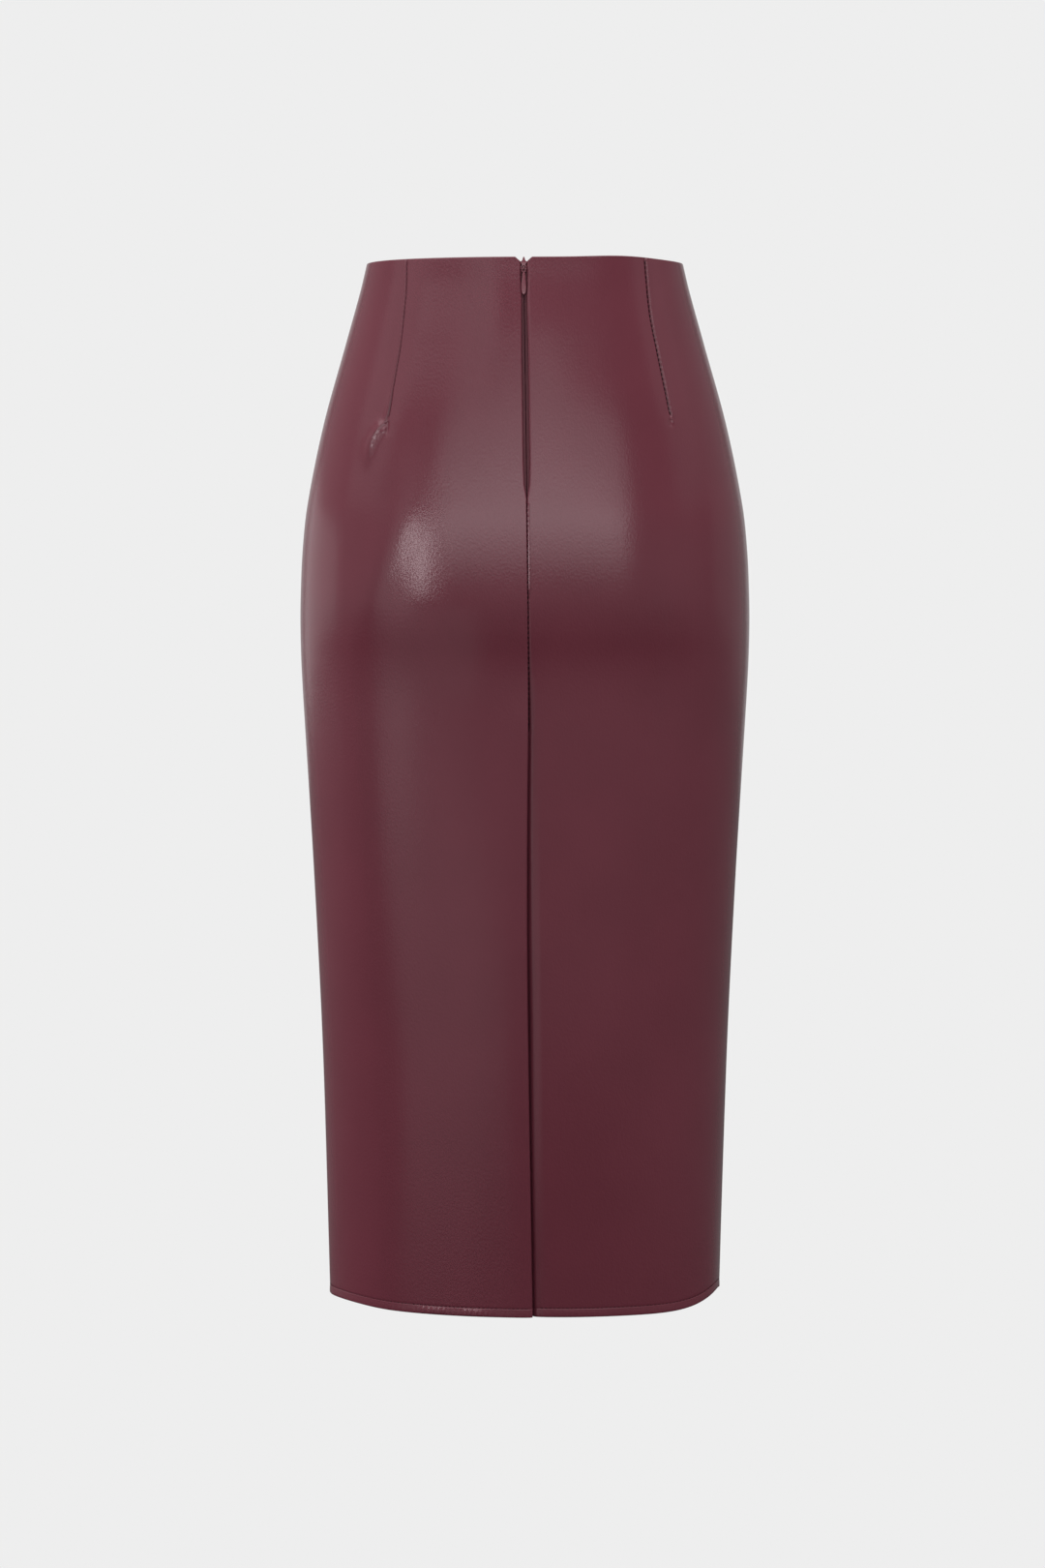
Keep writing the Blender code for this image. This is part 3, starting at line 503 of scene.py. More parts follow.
def none(distance, drop):
    return np.zeros_like(distance)


def rounded(away, radius=EDGE_RADIUS):
    """How far a folded edge's outer face falls away, and its inner face rises, near the edge."""
    reach = np.clip(1 - away / radius, 0, 1)
    return radius * (1 - np.sqrt(np.maximum(0.0, 1 - reach**2)))


def hem_relief(distance, drop):
    """The slight flare under the hem's stitching, and the groove that the stitching presses in."""
    up = LENGTH - drop
    flare = HEM_FLARE * ease((HEM_FOLD - up) / HEM_FLARE_RISE)
    from_side = np.abs(np.abs(away_from(0, distance, drop)) - side_seam(drop, 1))
    groove = HEM_GROOVE * hump(up - HEM_STITCH_HEIGHT, HEM_GROOVE_WIDTH)
    return flare * ease(from_side / HEM_FLARE_FADE) - groove


def hem_gathers(distance, drop):
    """How far the hem's fold puckers out, most where its stitching has gathered it."""
    up = LENGTH - drop
    wave = 0.5 + sum(w.share * np.sin(distance / w.length + w.phase) for w in HEM_WAVES)
    middle = centre_back(drop)
    height = sum(p.height * hump(distance - middle - p.x, p.reach) for p in HEM_PUCKERS) + LEAST_PUCKER
    rise = ease((HEM_FOLD + PUCKER_SLACK - up) / PUCKER_RISE) * ease((up + PUCKER_SLACK) / PUCKER_FALL)
    return height * wave * rise


def dart_relief(away, drop, tip, bite):
    """A dart's stitched line in its shallow valley, and the fold that rises on the line's outer side."""
    strength = ease((tip + DART_END - drop) / DART_END_FADE) * ease(drop / DART_TOP_FADE + DART_TOP_LEAST)
    grip = bite + (1 - bite) * ease((drop - tip + DART_GRIP_START) / DART_GRIP_FADE)
    line = -DART_GROOVE * grip * hump(away + DART_LINE_ASIDE, DART_GROOVE_WIDTH)
    slope = np.where(away > DART_FOLD_AWAY, DART_FOLD_FAR, DART_FOLD_NEAR)
    fold = DART_FOLD * grip * hump(away - DART_FOLD_AWAY, slope)
    valley = -DART_VALLEY * hump(away, DART_VALLEY_WIDTH)
    under = hump(drop - tip - DART_DIMPLE_DROP, DART_DIMPLE_REACH)
    dimple = -DART_DIMPLE * hump(away, DART_DIMPLE_WIDTH) * under
    return strength * (line + fold + valley) + dimple


def creases(across, down, table):
    """The relief of a table of creases at points across and down from their origin."""
    total = np.zeros_like(across)
    for crease in table:
        points = np.array(crease.points)
        runs = np.hypot(*np.diff(points, axis=0).T)
        starts = np.concatenate([[0.0], np.cumsum(runs)])
        nearest = np.full_like(across, np.inf)
        place = np.zeros_like(across)
        for (x0, y0), (x1, y1), run, start in zip(points, points[1:], runs, starts):
            t = np.clip(((across - x0) * (x1 - x0) + (down - y0) * (y1 - y0)) / run**2, 0, 1)
            away = np.hypot(across - x0 - t * (x1 - x0), down - y0 - t * (y1 - y0))
            place = np.where(away < nearest, (start + t * run) / starts[-1], place)
            nearest = np.minimum(nearest, away)
        fade = ease(place / CREASE_START + CREASE_LEAST) * ease((1 - place) / CREASE_END)
        total += crease.height * hump(nearest, crease.width) * fade
    return total


def left_face(distance, drop):
    """How far the left back panel's outer face stands out, but for the rounding of its edges."""
    away = centre_back(drop) - distance
    dart, tip = dart_line(LEFT_DART, drop), LEFT_DART[-1].drop
    face = left_proud(away, drop) - fall(away, drop, "lap_fall", "lap_width")
    face += zip_swell(away, drop, LEFT_SWELL) + back_relief(away, distance, drop)
    face += dart_relief(dart - distance, drop, tip, LEFT_BITE) + hem_relief(distance, drop)
    if LEFT_TIP_REACH[0] < drop - tip < LEFT_TIP_REACH[1]:
        face += creases(distance - dart, drop - tip, TIP_CREASES)
    return face


def right_face(distance, drop):
    beyond = distance - right_edge(drop)
    dart, tip = dart_line(RIGHT_DART, drop), RIGHT_DART[-1].drop
    face = right_dip(beyond, drop) + zip_swell(beyond, drop, RIGHT_SWELL) - zip_roll(beyond, drop)
    closed = ease((drop - ZIP_END) / CLOSED_FADE)
    face -= closed * SHOULDER_DEPTH * ease(1 - np.abs(beyond) / SHOULDER_WIDTH)
    face += back_relief(beyond, distance, drop) + dart_relief(distance - dart, drop, tip, FULL_BITE)
    if RIGHT_TIP_REACH[0] < drop - tip < RIGHT_TIP_REACH[1]:
        face += creases(distance - dart, drop - tip, RIGHT_TIP_CREASES)
    return face + hem_relief(distance, drop) * np.where(beyond < 0, UNDERLAP_SHARE, 1.0)


def front_face(distance, drop):
    face = soft_relief(distance, drop) + hem_relief(distance, drop)
    for side in (-1, 1):
        away = (distance - front_dart_line(side, drop)) * side
        face += dart_relief(away, drop, FRONT_DART_LENGTH, FULL_BITE)
    return face


Surface = namedtuple("Surface", "face lift")
LEFT, RIGHT = Surface(left_face, left_lift), Surface(right_face, right_lift)
FRONT, PLAIN = Surface(front_face, hem_lift), Surface(none, none)


# ---- grids, shells and swept forms ----
def graded(first, last, count, tight=1.2):
    """count steps from first to last, finer towards both ends."""
    u = np.linspace(-1, 1, count + 1)
    return first + (last - first) * 0.5 * (1 + np.tanh(tight * u) / math.tanh(tight))


def between(top, end, step):
    return list(np.linspace(top, end, max(2, int(round((end - top) / step)) + 1)))


def above_hem(*heights):
    return LENGTH - np.array(heights)


ROWS = np.concatenate([  # fine at the waist edge, round the darts' tips and at the hem
    [0, 0.06, 0.2, 0.45, 0.8, 1.4, 2.2],
    np.linspace(3.2, 112, 92),
    np.linspace(112, 148, 76)[1:],
    np.linspace(148, LENGTH - 15, 176)[1:],
    above_hem(13.6, 12.0, 10.4, 9.2, 8.2, 7.6, 7.3, 7.1, 6.9, 6.7, 6.5, 6.3, 6.1),
    above_hem(5.7, 5.0, 4.0, 3.0, 2.1, 1.4, 0.8, 0.45, 0.2, 0.06, 0),
])


def rimmed(first, last, rim, *body):
    """Columns that are fine at both edges, with the others between them."""
    return np.concatenate([first + rim, *body, (last - rim)[::-1]])


def beside(line, side, away):
    """Columns at these distances to one side of a line, in their order round the skirt."""
    spread = line + side * away
    return spread if side > 0 else spread[::-1]


def shell(rows, columns_at, out_at, in_at, lift_at, outside=OUTSIDE, inside=OUTSIDE):
    """Points, quads, flat coordinates and material numbers of a closed wall, made row by row."""
    outer, inner, flat = [], [], []
    for drop in rows:
        distances = columns_at(drop)
        lift = lift_at(distances, drop)
        outer.append(skin(distances, drop, out_at(distances, drop), lift))
        inner.append(skin(distances, drop, in_at(distances, drop), lift))
        flat.append(np.stack([distances, np.full_like(distances, -drop)], -1))
    index = np.arange(len(flat) * len(distances)).reshape(len(flat), -1)
    other = index + index.size
    corners = [
        (index[:-1, :-1], index[1:, :-1], index[1:, 1:], index[:-1, 1:]),
        (other[:-1, :-1], other[:-1, 1:], other[1:, 1:], other[1:, :-1]),
        (index[0, :-1], index[0, 1:], other[0, 1:], other[0, :-1]),
        (index[-1, 1:], index[-1, :-1], other[-1, :-1], other[-1, 1:]),
        (index[1:, 0], index[:-1, 0], other[:-1, 0], other[1:, 0]),
        (index[:-1, -1], index[1:, -1], other[1:, -1], other[:-1, -1]),
    ]
    quads = [np.stack(c, -1).reshape(-1, 4) for c in corners]
    numbers = [np.full(len(q), inside if k == 1 else outside, np.int32) for k, q in enumerate(quads)]
    return [np.concatenate(parts) for parts in (outer + inner, quads, flat * 2, numbers)]


def layer(rows, columns_at, face_at, thickness, roll_at, lift_at, outside=OUTSIDE, inside=OUTSIDE):
    """A wall of this thickness behind a face, with edges that roll in on both sides."""
    return shell(
        rows,
        columns_at,
        lambda distance, drop: face_at(distance, drop) - roll_at(distance, drop),
        lambda distance, drop: face_at(distance, drop) - thickness + roll_at(distance, drop),
        lift_at,
        outside,
        inside,
    )


def tube_mesh(path, across, outward, half_across, half_out, sides=8, closed=False, power=1.0):
    """A form swept along path points, from its section's two directions and its two half sizes."""
    across, outward = (np.broadcast_to(np.asarray(a, float), path.shape) for a in (across, outward))
    count = len(path)
    half_across, half_out = (np.broadcast_to(np.asarray(h, float), count) for h in (half_across, half_out))
    turn = np.arange(sides) * math.tau / sides
    cos, sin = (np.sign(f(turn)) * np.abs(f(turn)) ** power for f in (np.cos, np.sin))
    wide = across[:, None] * (half_across[:, None] * cos)[..., None]
    thick = outward[:, None] * (half_out[:, None] * sin)[..., None]
    points = (path[:, None] + wide + thick).reshape(-1, 3)
    here = np.arange(count if closed else count - 1)[:, None] * sides
    ahead = (here + sides) % (count * sides)
    i = np.arange(sides)
    j = (i + 1) % sides
    quads = [np.stack([here + i, here + j, ahead + j, ahead + i], -1).reshape(-1, 4)]
    if not closed:
        last, middle = (count - 1) * sides, np.full(sides, count * sides)
        points = np.concatenate([points, path[:1], path[-1:]])
        quads.append(np.stack([j, i, middle, middle], -1))
        quads.append(np.stack([last + i, last + j, middle + 1, middle + 1], -1))
    quads = np.concatenate(quads)
    return points, quads, np.zeros((len(points), 2)), np.zeros(len(quads), np.int32)


def add_object(name, data):
    obj = bpy.data.objects.new(name, data)
    bpy.context.scene.collection.objects.link(obj)
    return obj


def make_piece(name, meshes, materials, body, replaces=None):
    """One object from several closed meshes, riding on a body."""
    points, quads, flat, numbers = zip(*meshes)
    starts = np.cumsum([0] + [len(part) for part in points[:-1]])
    quads = np.concatenate([part + start for part, start in zip(quads, starts)]).tolist()
    faces = [tuple(dict.fromkeys(quad)) for quad in quads]
    mesh = bpy.data.meshes.new(name)
    mesh.from_pydata((np.concatenate(points) * MM).tolist(), [], faces)
    for material in materials:
        mesh.materials.append(material)
    mesh.polygons.foreach_set("material_index", np.concatenate(numbers))
    loops = np.zeros(len(mesh.loops), dtype=np.int32)
    mesh.loops.foreach_get("vertex_index", loops)
    layer = mesh.uv_layers.new(name="surface")
    layer.data.foreach_set("uv", (np.concatenate(flat)[loops] * MM).astype(np.float32).ravel())
    mesh.shade_smooth()
    mesh.update()
    bm = bmesh.new()
    bm.from_mesh(mesh)
    bmesh.ops.recalc_face_normals(bm, faces=bm.faces)
    bm.to_mesh(mesh)
    bm.free()
    obj = add_object(name, mesh)
    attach(obj, body)
    if replaces:
        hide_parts(replaces)
    return obj


# ---- the panels ----
def hem_turn(drop):
    """The depth of the hem's turned up layer behind the face."""
    return TURNED * ease((HEM_TURN_HEIGHT - (LENGTH - drop)) / HEM_TURN_STEP)


def allowance(line_at, side, top, end, lift_at):
    """A seam's allowance, turned back flat against the panel's inside, on this side of the seam's line."""

    def turn(distance, drop):
        away = np.abs(distance - line_at(drop))
        return rounded(away - ALLOWANCE_COLUMNS[0], 0.35) + rounded(ALLOWANCE - away, 0.3)

    def face(distance, drop):
        return INSIDE_FACE - hem_turn(drop)

    def columns(drop):
        return beside(line_at(drop), side, ALLOWANCE_COLUMNS)

    rows = between(top, min(end, LENGTH - 12), 6)
    if end > rows[-1]:
        rows.extend(above_hem(11.4, 10.6, 10.0, 9.4, 8.8, 6.0, 3.0, 0.8))
    return layer(rows, columns, face, ALLOWANCE_THICKNESS, turn, lift_at, BACKING, BACKING)


def hem_fold(first_at, last_at, surface):
    """The hem's folded edge as a fine band over the panel's, with its puckers."""
    rim, inset, spacing = np.array([0, 0.1]), 0.4, 0.6
    count = int((last_at(LENGTH) - first_at(LENGTH)) / spacing)

    def columns(drop):
        first, last = first_at(drop), last_at(drop)
        middle = np.linspace(first + inset, last - inset, count)
        return rimmed(first, last, rim, middle)

    def outside(distance, drop):
        away = np.minimum(distance - first_at(drop), last_at(drop) - distance)
        roll = rounded(away, 0.5) + rounded(LENGTH - drop)
        tuck = HEM_TUCK * ease(1 - (drop - LENGTH + HEM_FOLD) / 0.4)
        return surface.face(distance, drop) + HEM_FOLD_OUT + hem_gathers(distance, drop) - tuck - roll

    def inside(distance, drop):
        return surface.face(distance, drop) - HEM_FOLD_BACK

    rows = above_hem(6.4, 6.3, 6.15, 6.0, 5.7, 5.3, 4.8, 4.2, 3.6, 3.0, 2.4, 1.8, 1.2, 0.7, 0.4, 0.2, 0.06, 0)
    return shell(rows, columns, outside, inside, surface.lift)


def waist_facing(first_at, last_at, lift_at):
    """The facing inside the waist edge, with its leather side towards the wearer."""

    def columns(drop):
        return graded(first_at(drop), last_at(drop), 60)

    def face(distance, drop):
        return INSIDE_FACE

    def turn(distance, drop):
        return rounded(drop - FACING_TOP, 0.4) + rounded(FACING_DEPTH - drop, 0.5)

    rows = [0.5, 0.6, 0.9] + between(1.6, FACING_DEPTH - 1.2, 3)
    rows += [FACING_DEPTH - up for up in (0.4, 0.15, 0)]
    return layer(rows, columns, face, FACING_THICKNESS, turn, lift_at, outside=BACKING)


def gathered_edge(edge, line_at, side, surface, first, last):
    """The leather's edge along a stitched line: a band whose broad face leans to the line, gathered by it."""
    drops = between(first, last, EDGE_STEP)
    stations = [(line_at(drop) + side * edge.away, drop) for drop in drops]
    path, outward = (np.array(a) for a in line_of_points(stations, surface, 0))
    across = np.cross(outward, unit(np.gradient(path, axis=0)))
    turn = math.radians(edge.lean) * side
    across, outward = (
        across * math.cos(turn) + outward * math.sin(turn),
        outward * math.cos(turn) - across * math.sin(turn),
    )
    drops = np.array(drops)
    wave = np.sin(math.tau * drops / SEAM_THREAD_AND_PAINTED_SHADE.pitch) + EDGE_UNEVEN * np.sin(drops / SEAM_THREAD_AND_PAINTED_SHADE.pitch)
    taper = ease((drops - first) / EDGE_START + EDGE_START_LEAST)
    taper = taper * ease((last - drops) / EDGE_STOP + EDGE_STOP_LEAST)
    wide, high = edge.half_width * taper, edge.half_height * (1 + edge.gathers * wave) * taper
    points, quads, flat, numbers = tube_mesh(path, across, outward, wide, high, EDGE_SIDES, power=edge.power)
    round_edge = np.tile(np.arange(EDGE_SIDES), len(drops)) * 0.2
    flat[:-2] = np.stack([round_edge, np.repeat(drops, EDGE_SIDES)], -1)
    return points, quads, flat, numbers


def dart_edge(edge, dart, side, surface):
    end = dart[-1].drop - 0.5
    return gathered_edge(edge, lambda drop: dart_line(dart, drop), side, surface, 0.8, end)


def panel(name, node, first_at, last_at, body_at, surface, back_at, sewn):
    """One leather panel: its wall, which rolls in at every edge, and what's sewn to it."""

    def columns(drop):
        return rimmed(first_at(drop), last_at(drop), RIM, *body_at(drop))

    def roll(distance, drop, radius):
        sides = rounded(distance - first_at(drop), radius) + rounded(last_at(drop) - distance, radius)
        return sides + (rounded(LENGTH - drop) + rounded(drop))

    wall = shell(
        ROWS,
        columns,
        lambda distance, drop: surface.face(distance, drop) - roll(distance, drop, SEAM_ROLL),
        lambda distance, drop: back_at(distance, drop) - hem_turn(drop) + roll(distance, drop, SEAM_BACK),
        surface.lift,
        inside=BACKING,
    )
    return make_piece(name, [wall, *sewn], LEATHER_SIDES, GARMENT, node)


def back_left():
    def side_at(drop):
        return side_seam(drop, -1) + SEAM_GAP / 2

    def body(drop):
        edge, side, dart = left_edge(drop), side_at(drop), dart_line(LEFT_DART, drop)
        return [
            graded(side + RIM_END, dart - CREASE_REACH, 14),
            np.linspace(dart - CREASE_REACH, dart - DART_REACH, 22)[1:],
            dart + DART_COLUMNS,
            np.linspace(dart + DART_REACH, edge - 5.6, 27),
            edge - np.array([4.6, 3.8, 3.1, 2.5, 2.0, 1.6]),
        ]

    def back(distance, drop):
        away = centre_back(drop) - distance
        facing = TURNED * ease(drop - VENT_TOP) * ease(FACING_WIDTH - away)
        over_hem = np.maximum(facing - hem_turn(drop), 0)
        return left_proud(away, drop) + back_relief(away, distance, drop) - LEATHER - over_hem

    sewn = [
        allowance(moved(side_at, BACK_SET), 1, ALLOWANCE_TOP, LENGTH, hem_lift),
        allowance(centre_back, -1, SEAM_ALLOWANCE_TOP, VENT_TOP - 2, none),
        waist_facing(moved(side_at, FACING_SIDE), moved(left_edge, -FACING_ZIP), left_lift),
        dart_edge(LEFT_DART_EDGE, LEFT_DART, -1, LEFT),
        hem_fold(side_at, left_edge, LEFT),
    ]
    return panel("back_left", "back_panel_left", side_at, left_edge, body, LEFT, back, sewn)


def back_right():
    def edge_at(drop):
        return right_edge(drop) - UNDERLAP_WIDTH * min(1.0, max(0.0, (drop - VENT_TOP) / UNDERLAP_WIDTH))

    def side_at(drop):
        return side_seam(drop, 1) - SEAM_GAP / 2

    def body(drop):
        edge, side, dart = edge_at(drop), side_at(drop), dart_line(RIGHT_DART, drop)
        lap = max(right_edge(drop), edge + RIM_END + 0.1)
        return [
            np.linspace(edge + RIM_END, lap, 10),
            lap + np.array([0.3, 0.7, 1.1, 1.6, 2.2, 2.9]),
            np.linspace(lap + 3.7, dart - DART_REACH, 32),
            dart + DART_COLUMNS,
            np.linspace(dart + DART_REACH, side - RIM_END, 24),
        ]

    def back(distance, drop):
        beyond = distance - right_edge(drop)
        return right_dip(beyond, drop) + back_relief(beyond, distance, drop) - LEATHER

    sewn = [
        allowance(moved(side_at, -BACK_SET), -1, ALLOWANCE_TOP, LENGTH, hem_lift),
        allowance(centre_back, 1, SEAM_ALLOWANCE_TOP, VENT_TOP - 47, none),
        waist_facing(moved(right_edge, FACING_ZIP), moved(side_at, -FACING_SIDE), right_lift),
        dart_edge(RIGHT_DART_EDGE, RIGHT_DART, 1, RIGHT),
        gathered_edge(SEAM_EDGE, right_edge, 1, RIGHT, ZIP_END + 1, ZIP_END + SEAM_EDGE_LENGTH),
        hem_fold(right_edge, side_at, RIGHT),
    ]
    return panel("back_right", "back_panel_right", edge_at, side_at, body, RIGHT, back, sewn)


def front():
    def first_at(drop):
        return side_seam(drop, 1) + SEAM_GAP / 2

    def last_at(drop):
        return girth(drop) + side_seam(drop, -1) - SEAM_GAP / 2

    def body(drop):
        darts = [front_dart_line(side, drop) for side in (-1, 1)]
        return [
            graded(first_at(drop) + RIM_END, darts[0] - DART_REACH, 22, 0.8),
            darts[0] + DART_COLUMNS,
            graded(darts[0] + DART_REACH, darts[1] - DART_REACH, 30, 0.8),
            darts[1] + DART_COLUMNS,
            graded(darts[1] + DART_REACH, last_at(drop) - RIM_END, 22, 0.8),
        ]

    def back(distance, drop):
        return soft_relief(distance, drop) - LEATHER

    sewn = [
        allowance(moved(first_at, -FRONT_SET), 1, ALLOWANCE_TOP, LENGTH, hem_lift),
        allowance(moved(last_at, FRONT_SET), -1, ALLOWANCE_TOP, LENGTH, hem_lift),
        waist_facing(moved(first_at, FACING_SIDE), moved(last_at, -FACING_SIDE), hem_lift),
        hem_fold(first_at, last_at, FRONT),
    ]
    return panel("front", "front_panel", first_at, last_at, body, FRONT, back, sewn)


# ---- stitching, and painted shade down the darts and along the closed seam ----
def line_of_points(stations, surface, sunk):
    """Points and outward directions along a line given as (distance, drop) pairs."""
    points, outwards = [], []
    for distance, drop in stations:
        at = np.array([distance])
        face, lift = surface.face(at, drop), surface.lift(at, drop)
        points.append(skin(at, drop, face - sunk, lift)[0])
        outwards.append(skin(at, drop, face + 1, lift)[0] - skin(at, drop, face, lift)[0])
    return points, outwards


def sewn_line(stitch, stations, surface):
    """Short threads along a line of places on the face, each lying along it and sunk a little."""
    # Down a dart, and partly along the closed seam, these dark threads are painted shade of the crevice.
    points, outwards = (np.array(a) for a in line_of_points(stations, surface, stitch.sunk))
    runs = np.concatenate([[0.0], np.cumsum(np.linalg.norm(np.diff(points, axis=0), axis=1))])
    shares = np.array([-0.5, -0.42, -0.25, 0.0, 0.25, 0.42, 0.5])
    swell = np.array([0.25, 0.7, 0.95, 1.0, 0.95, 0.7, 0.25]) * stitch.radius
    sink = np.array([-1.1, -0.5, -0.1, 0.0, -0.1, -0.5, -1.1]) * stitch.radius
    meshes = []
    for place in np.arange(stitch.pitch / 2, runs[-1] - stitch.pitch / 2, stitch.pitch):
        path = np.stack([np.interp(place + shares * stitch.length, runs, column) for column in points.T], -1)
        normal = np.array([np.interp(place, runs, column) for column in outwards.T])
        across = unit(np.cross(normal, path[-1] - path[0]))
        meshes.append(tube_mesh(path + normal * sink[:, None], across, normal, swell, swell, 6))
    return meshes


def stitches_and_painted_shade():
    """Thread round the hem; down the darts painted shade, and along the closed seam thread and painted shade.
    """
    inset, end, dart_step, line_step, aside = 2, 1, 2, 3, 0.1
    meshes = []
    for stitch, dart, surface in ((LEFT_DART_PAINTED_SHADE, LEFT_DART, LEFT), (RIGHT_DART_PAINTED_SHADE, RIGHT_DART, RIGHT)):
        drops = between(inset, dart[-1].drop - end, dart_step)
        meshes += sewn_line(stitch, [(dart_line(dart, d), d) for d in drops], surface)
    for side in (-1, 1):
        drops = between(inset, FRONT_DART_LENGTH - end, dart_step)
        meshes += sewn_line(FRONT_DART_PAINTED_SHADE, [(front_dart_line(side, d), d) for d in drops], FRONT)
    drops = between(ZIP_END + end, VENT_TOP, line_step)
    meshes += sewn_line(SEAM_THREAD_AND_PAINTED_SHADE, [(centre_back(d) + aside, d) for d in drops], PLAIN)
    hem = LENGTH - HEM_STITCH_HEIGHT
    left, middle, right = side_seam(hem, -1), centre_back(hem), side_seam(hem, 1)
    around = girth(hem) + left
    for first, last, surface in ((left, middle, LEFT), (middle, right, RIGHT), (right, around, FRONT)):
        stations = [(d, hem) for d in between(first + inset, last - inset, line_step)]
        meshes += sewn_line(HEM_STITCH, stations, surface)
    return make_piece("stitches_and_painted_shade", meshes, [DARK_THREAD_AND_PAINTED_SHADE], GARMENT)


# ---- the zip's pieces ----
def tape(name, node, side):
    """One tape, rolled over at the edge where it meets the other."""

    def part(drop):
        return TAPE_PART + (TAPE_MEET - TAPE_PART) * ease((drop - TAPE_MEET_TOP) / TAPE_MEET_FADE)

    def turn(distance, drop):
        away = np.abs(distance - centre_back(drop))
        return rounded(away - part(drop), TAPE_EDGE) + rounded(TAPE_WIDTH - away, TAPE_SELVEDGE)

    def columns(drop):
        return beside(centre_back(drop), side, part(drop) + TAPE_COLUMNS)

    def face(distance, drop):
        low = ease((drop - BULGE_TOP) / BULGE_TOP_FADE) * ease((BULGE_END - drop) / BULGE_END_FADE)
        away = np.abs(distance - centre_back(drop))
        return TAPE_FACE + TAPE_BULGE * low * hump(away - TAPE_BULGE_AWAY, TAPE_BULGE_WIDTH)

    band = layer(between(TAPE_TOP, TAPE_END, 1.6), columns, face, TAPE_THICKNESS, turn, none)
    return make_piece(name, [band], [TAPE_CLOTH], GARMENT, node)


def coils():
    """The two rows of coils, each a flattened helix, closed into each other."""
    turns = int((COIL_END - COIL_TOP - 1) / COIL_PITCH)
    meshes = []
    for side in (-1, 1):
        path = []
        for step in range(turns * TURN_STEPS + 1):
            turn = math.tau * step / TURN_STEPS
            ahead = 0.5 if side > 0 and step < turns * TURN_STEPS else 0.0
            drop = COIL_TOP + 0.5 + COIL_PITCH * (step / TURN_STEPS + ahead)
            drop = min(drop, COIL_END - 0.4)
            across = side * (COIL_AWAY - COIL_HALF_WIDTH * math.cos(turn))
            depth = COIL_FACE - (COIL_DEPTH - COIL_HALF_DEPTH * math.sin(turn))
            path.append(skin(centre_back(drop) + across, drop, depth))
        path = np.array(path)
        run = unit(np.gradient(path, axis=0))
        across = unit(np.cross(run, (0, 0, 1)))
        meshes.append(tube_mesh(path, across, np.cross(run, across), COIL_WIRE, COIL_WIRE, 6))
    return make_piece("coils", meshes, [COIL_NYLON], GARMENT, "zip_coil")


def zip_frame(drop, out):
    """The frame of a piece that lies on the zip: x across, y inwards, z up along the slope."""
    line = centre_back(drop)
    low, high = (Vector(skin(line, d)) for d in (drop + SLOPE_BELOW, drop - SLOPE_ABOVE))
    up = high - low
    up.x = 0.0
    up.normalize()
    across = Vector((1.0, 0.0, 0.0))
    turn = Matrix((across, up.cross(across), up)).transposed().to_4x4()
    return Matrix.Translation(Vector(skin(line, drop, out))) @ turn


def metal_piece(name, meshes, drop, out, body, node):
    """A piece of lacquered metal, whose meshes are given in the frame of its place on the zip."""
    matrix = np.array(zip_frame(drop, out))
    placed = [(points @ matrix[:3, :3].T + matrix[:3, 3], *rest) for points, *rest in meshes]
    return make_piece(name, placed, [LACQUERED_METAL], body, node)


def upright(table, depth, steps, sides=20, power=0.8):
    """A flattened form hanging down the z axis at this depth, from its half widths and half depths."""
    drops = np.linspace(table[0].drop, table[-1].drop, steps)
    path = np.stack([np.zeros(steps), np.full(steps, depth), -drops], -1)
    width = [along(table, "half_width", d) for d in drops]
    thick = [along(table, "half_depth", d) for d in drops]
    return tube_mesh(path, (1, 0, 0), (0, -1, 0), width, thick, sides, power=power)


def loop(centre, u, half_u, half_v, tube_side, tube_face, steps=28, sides=10):
    """A closed ring in the plane of u and z."""
    turn = np.arange(steps)[:, None] * math.tau / steps
    u, v = np.array(u, float), np.array([0.0, 0.0, 1.0])
    path = np.array(centre) + half_u * np.cos(turn) * u + half_v * np.sin(turn) * v
    run = unit(-half_u * np.sin(turn) * u + half_v * np.cos(turn) * v)
    side = np.cross(u, v)
    return tube_mesh(path, side, np.cross(side, run), tube_side, tube_face, sides, closed=True)


def rounded_block(size, centre=(0, 0, 0), steps=14):
    """A block with soft corners, swept down its height."""
    u = np.linspace(-1, 1, steps)
    level = np.sign(u) * (1 - (1 - np.abs(u)) ** 2)
    shrink = np.maximum(1 - np.abs(level) ** 6, 0.02) ** 0.5
    path = np.array(centre) + np.stack([0 * level, 0 * level, level * size[2] / 2], -1)
    halves = (size[0] / 2 * shrink, size[1] / 2 * shrink)
    return tube_mesh(path, (1, 0, 0), (0, -1, 0), *halves, 24, power=0.35)


def slider():
    """The slider: pointed crown, bail, neck and body."""
    body_at = (0, PIVOT_OUT - COIL_FACE + BODY_SIZE[1] / 2, 0)
    meshes = [
        upright(NOSE, CROWN_OUT, 22),
        loop((0, RING_OUT, RING_UP), (1, 0, 0), 1.75, 2.1, 0.45, 0.42),
        loop((0, 0, 0), (0, 1, 0), 1.25, 1.25, 0.4, 0.28),
        rounded_block(NECK_SIZE, NECK_AT),
        rounded_block(BODY_SIZE, body_at),
    ]
    return metal_piece("slider", meshes, PIVOT_DROP, PIVOT_OUT, GARMENT, "zip_slider")


def pull():
    """The teardrop pull and its eye, which hangs in the bail."""
    meshes = [
        loop((0, 0, EYE_UP), (1, 0, 0), 1.4, 1.5, 0.42, 0.42),
        upright(TEARDROP, 0.0, 44, 24, 0.9),
    ]
    return metal_piece("pull_tab", meshes, PIVOT_DROP, PIVOT_OUT, PULL, "zip_pull")


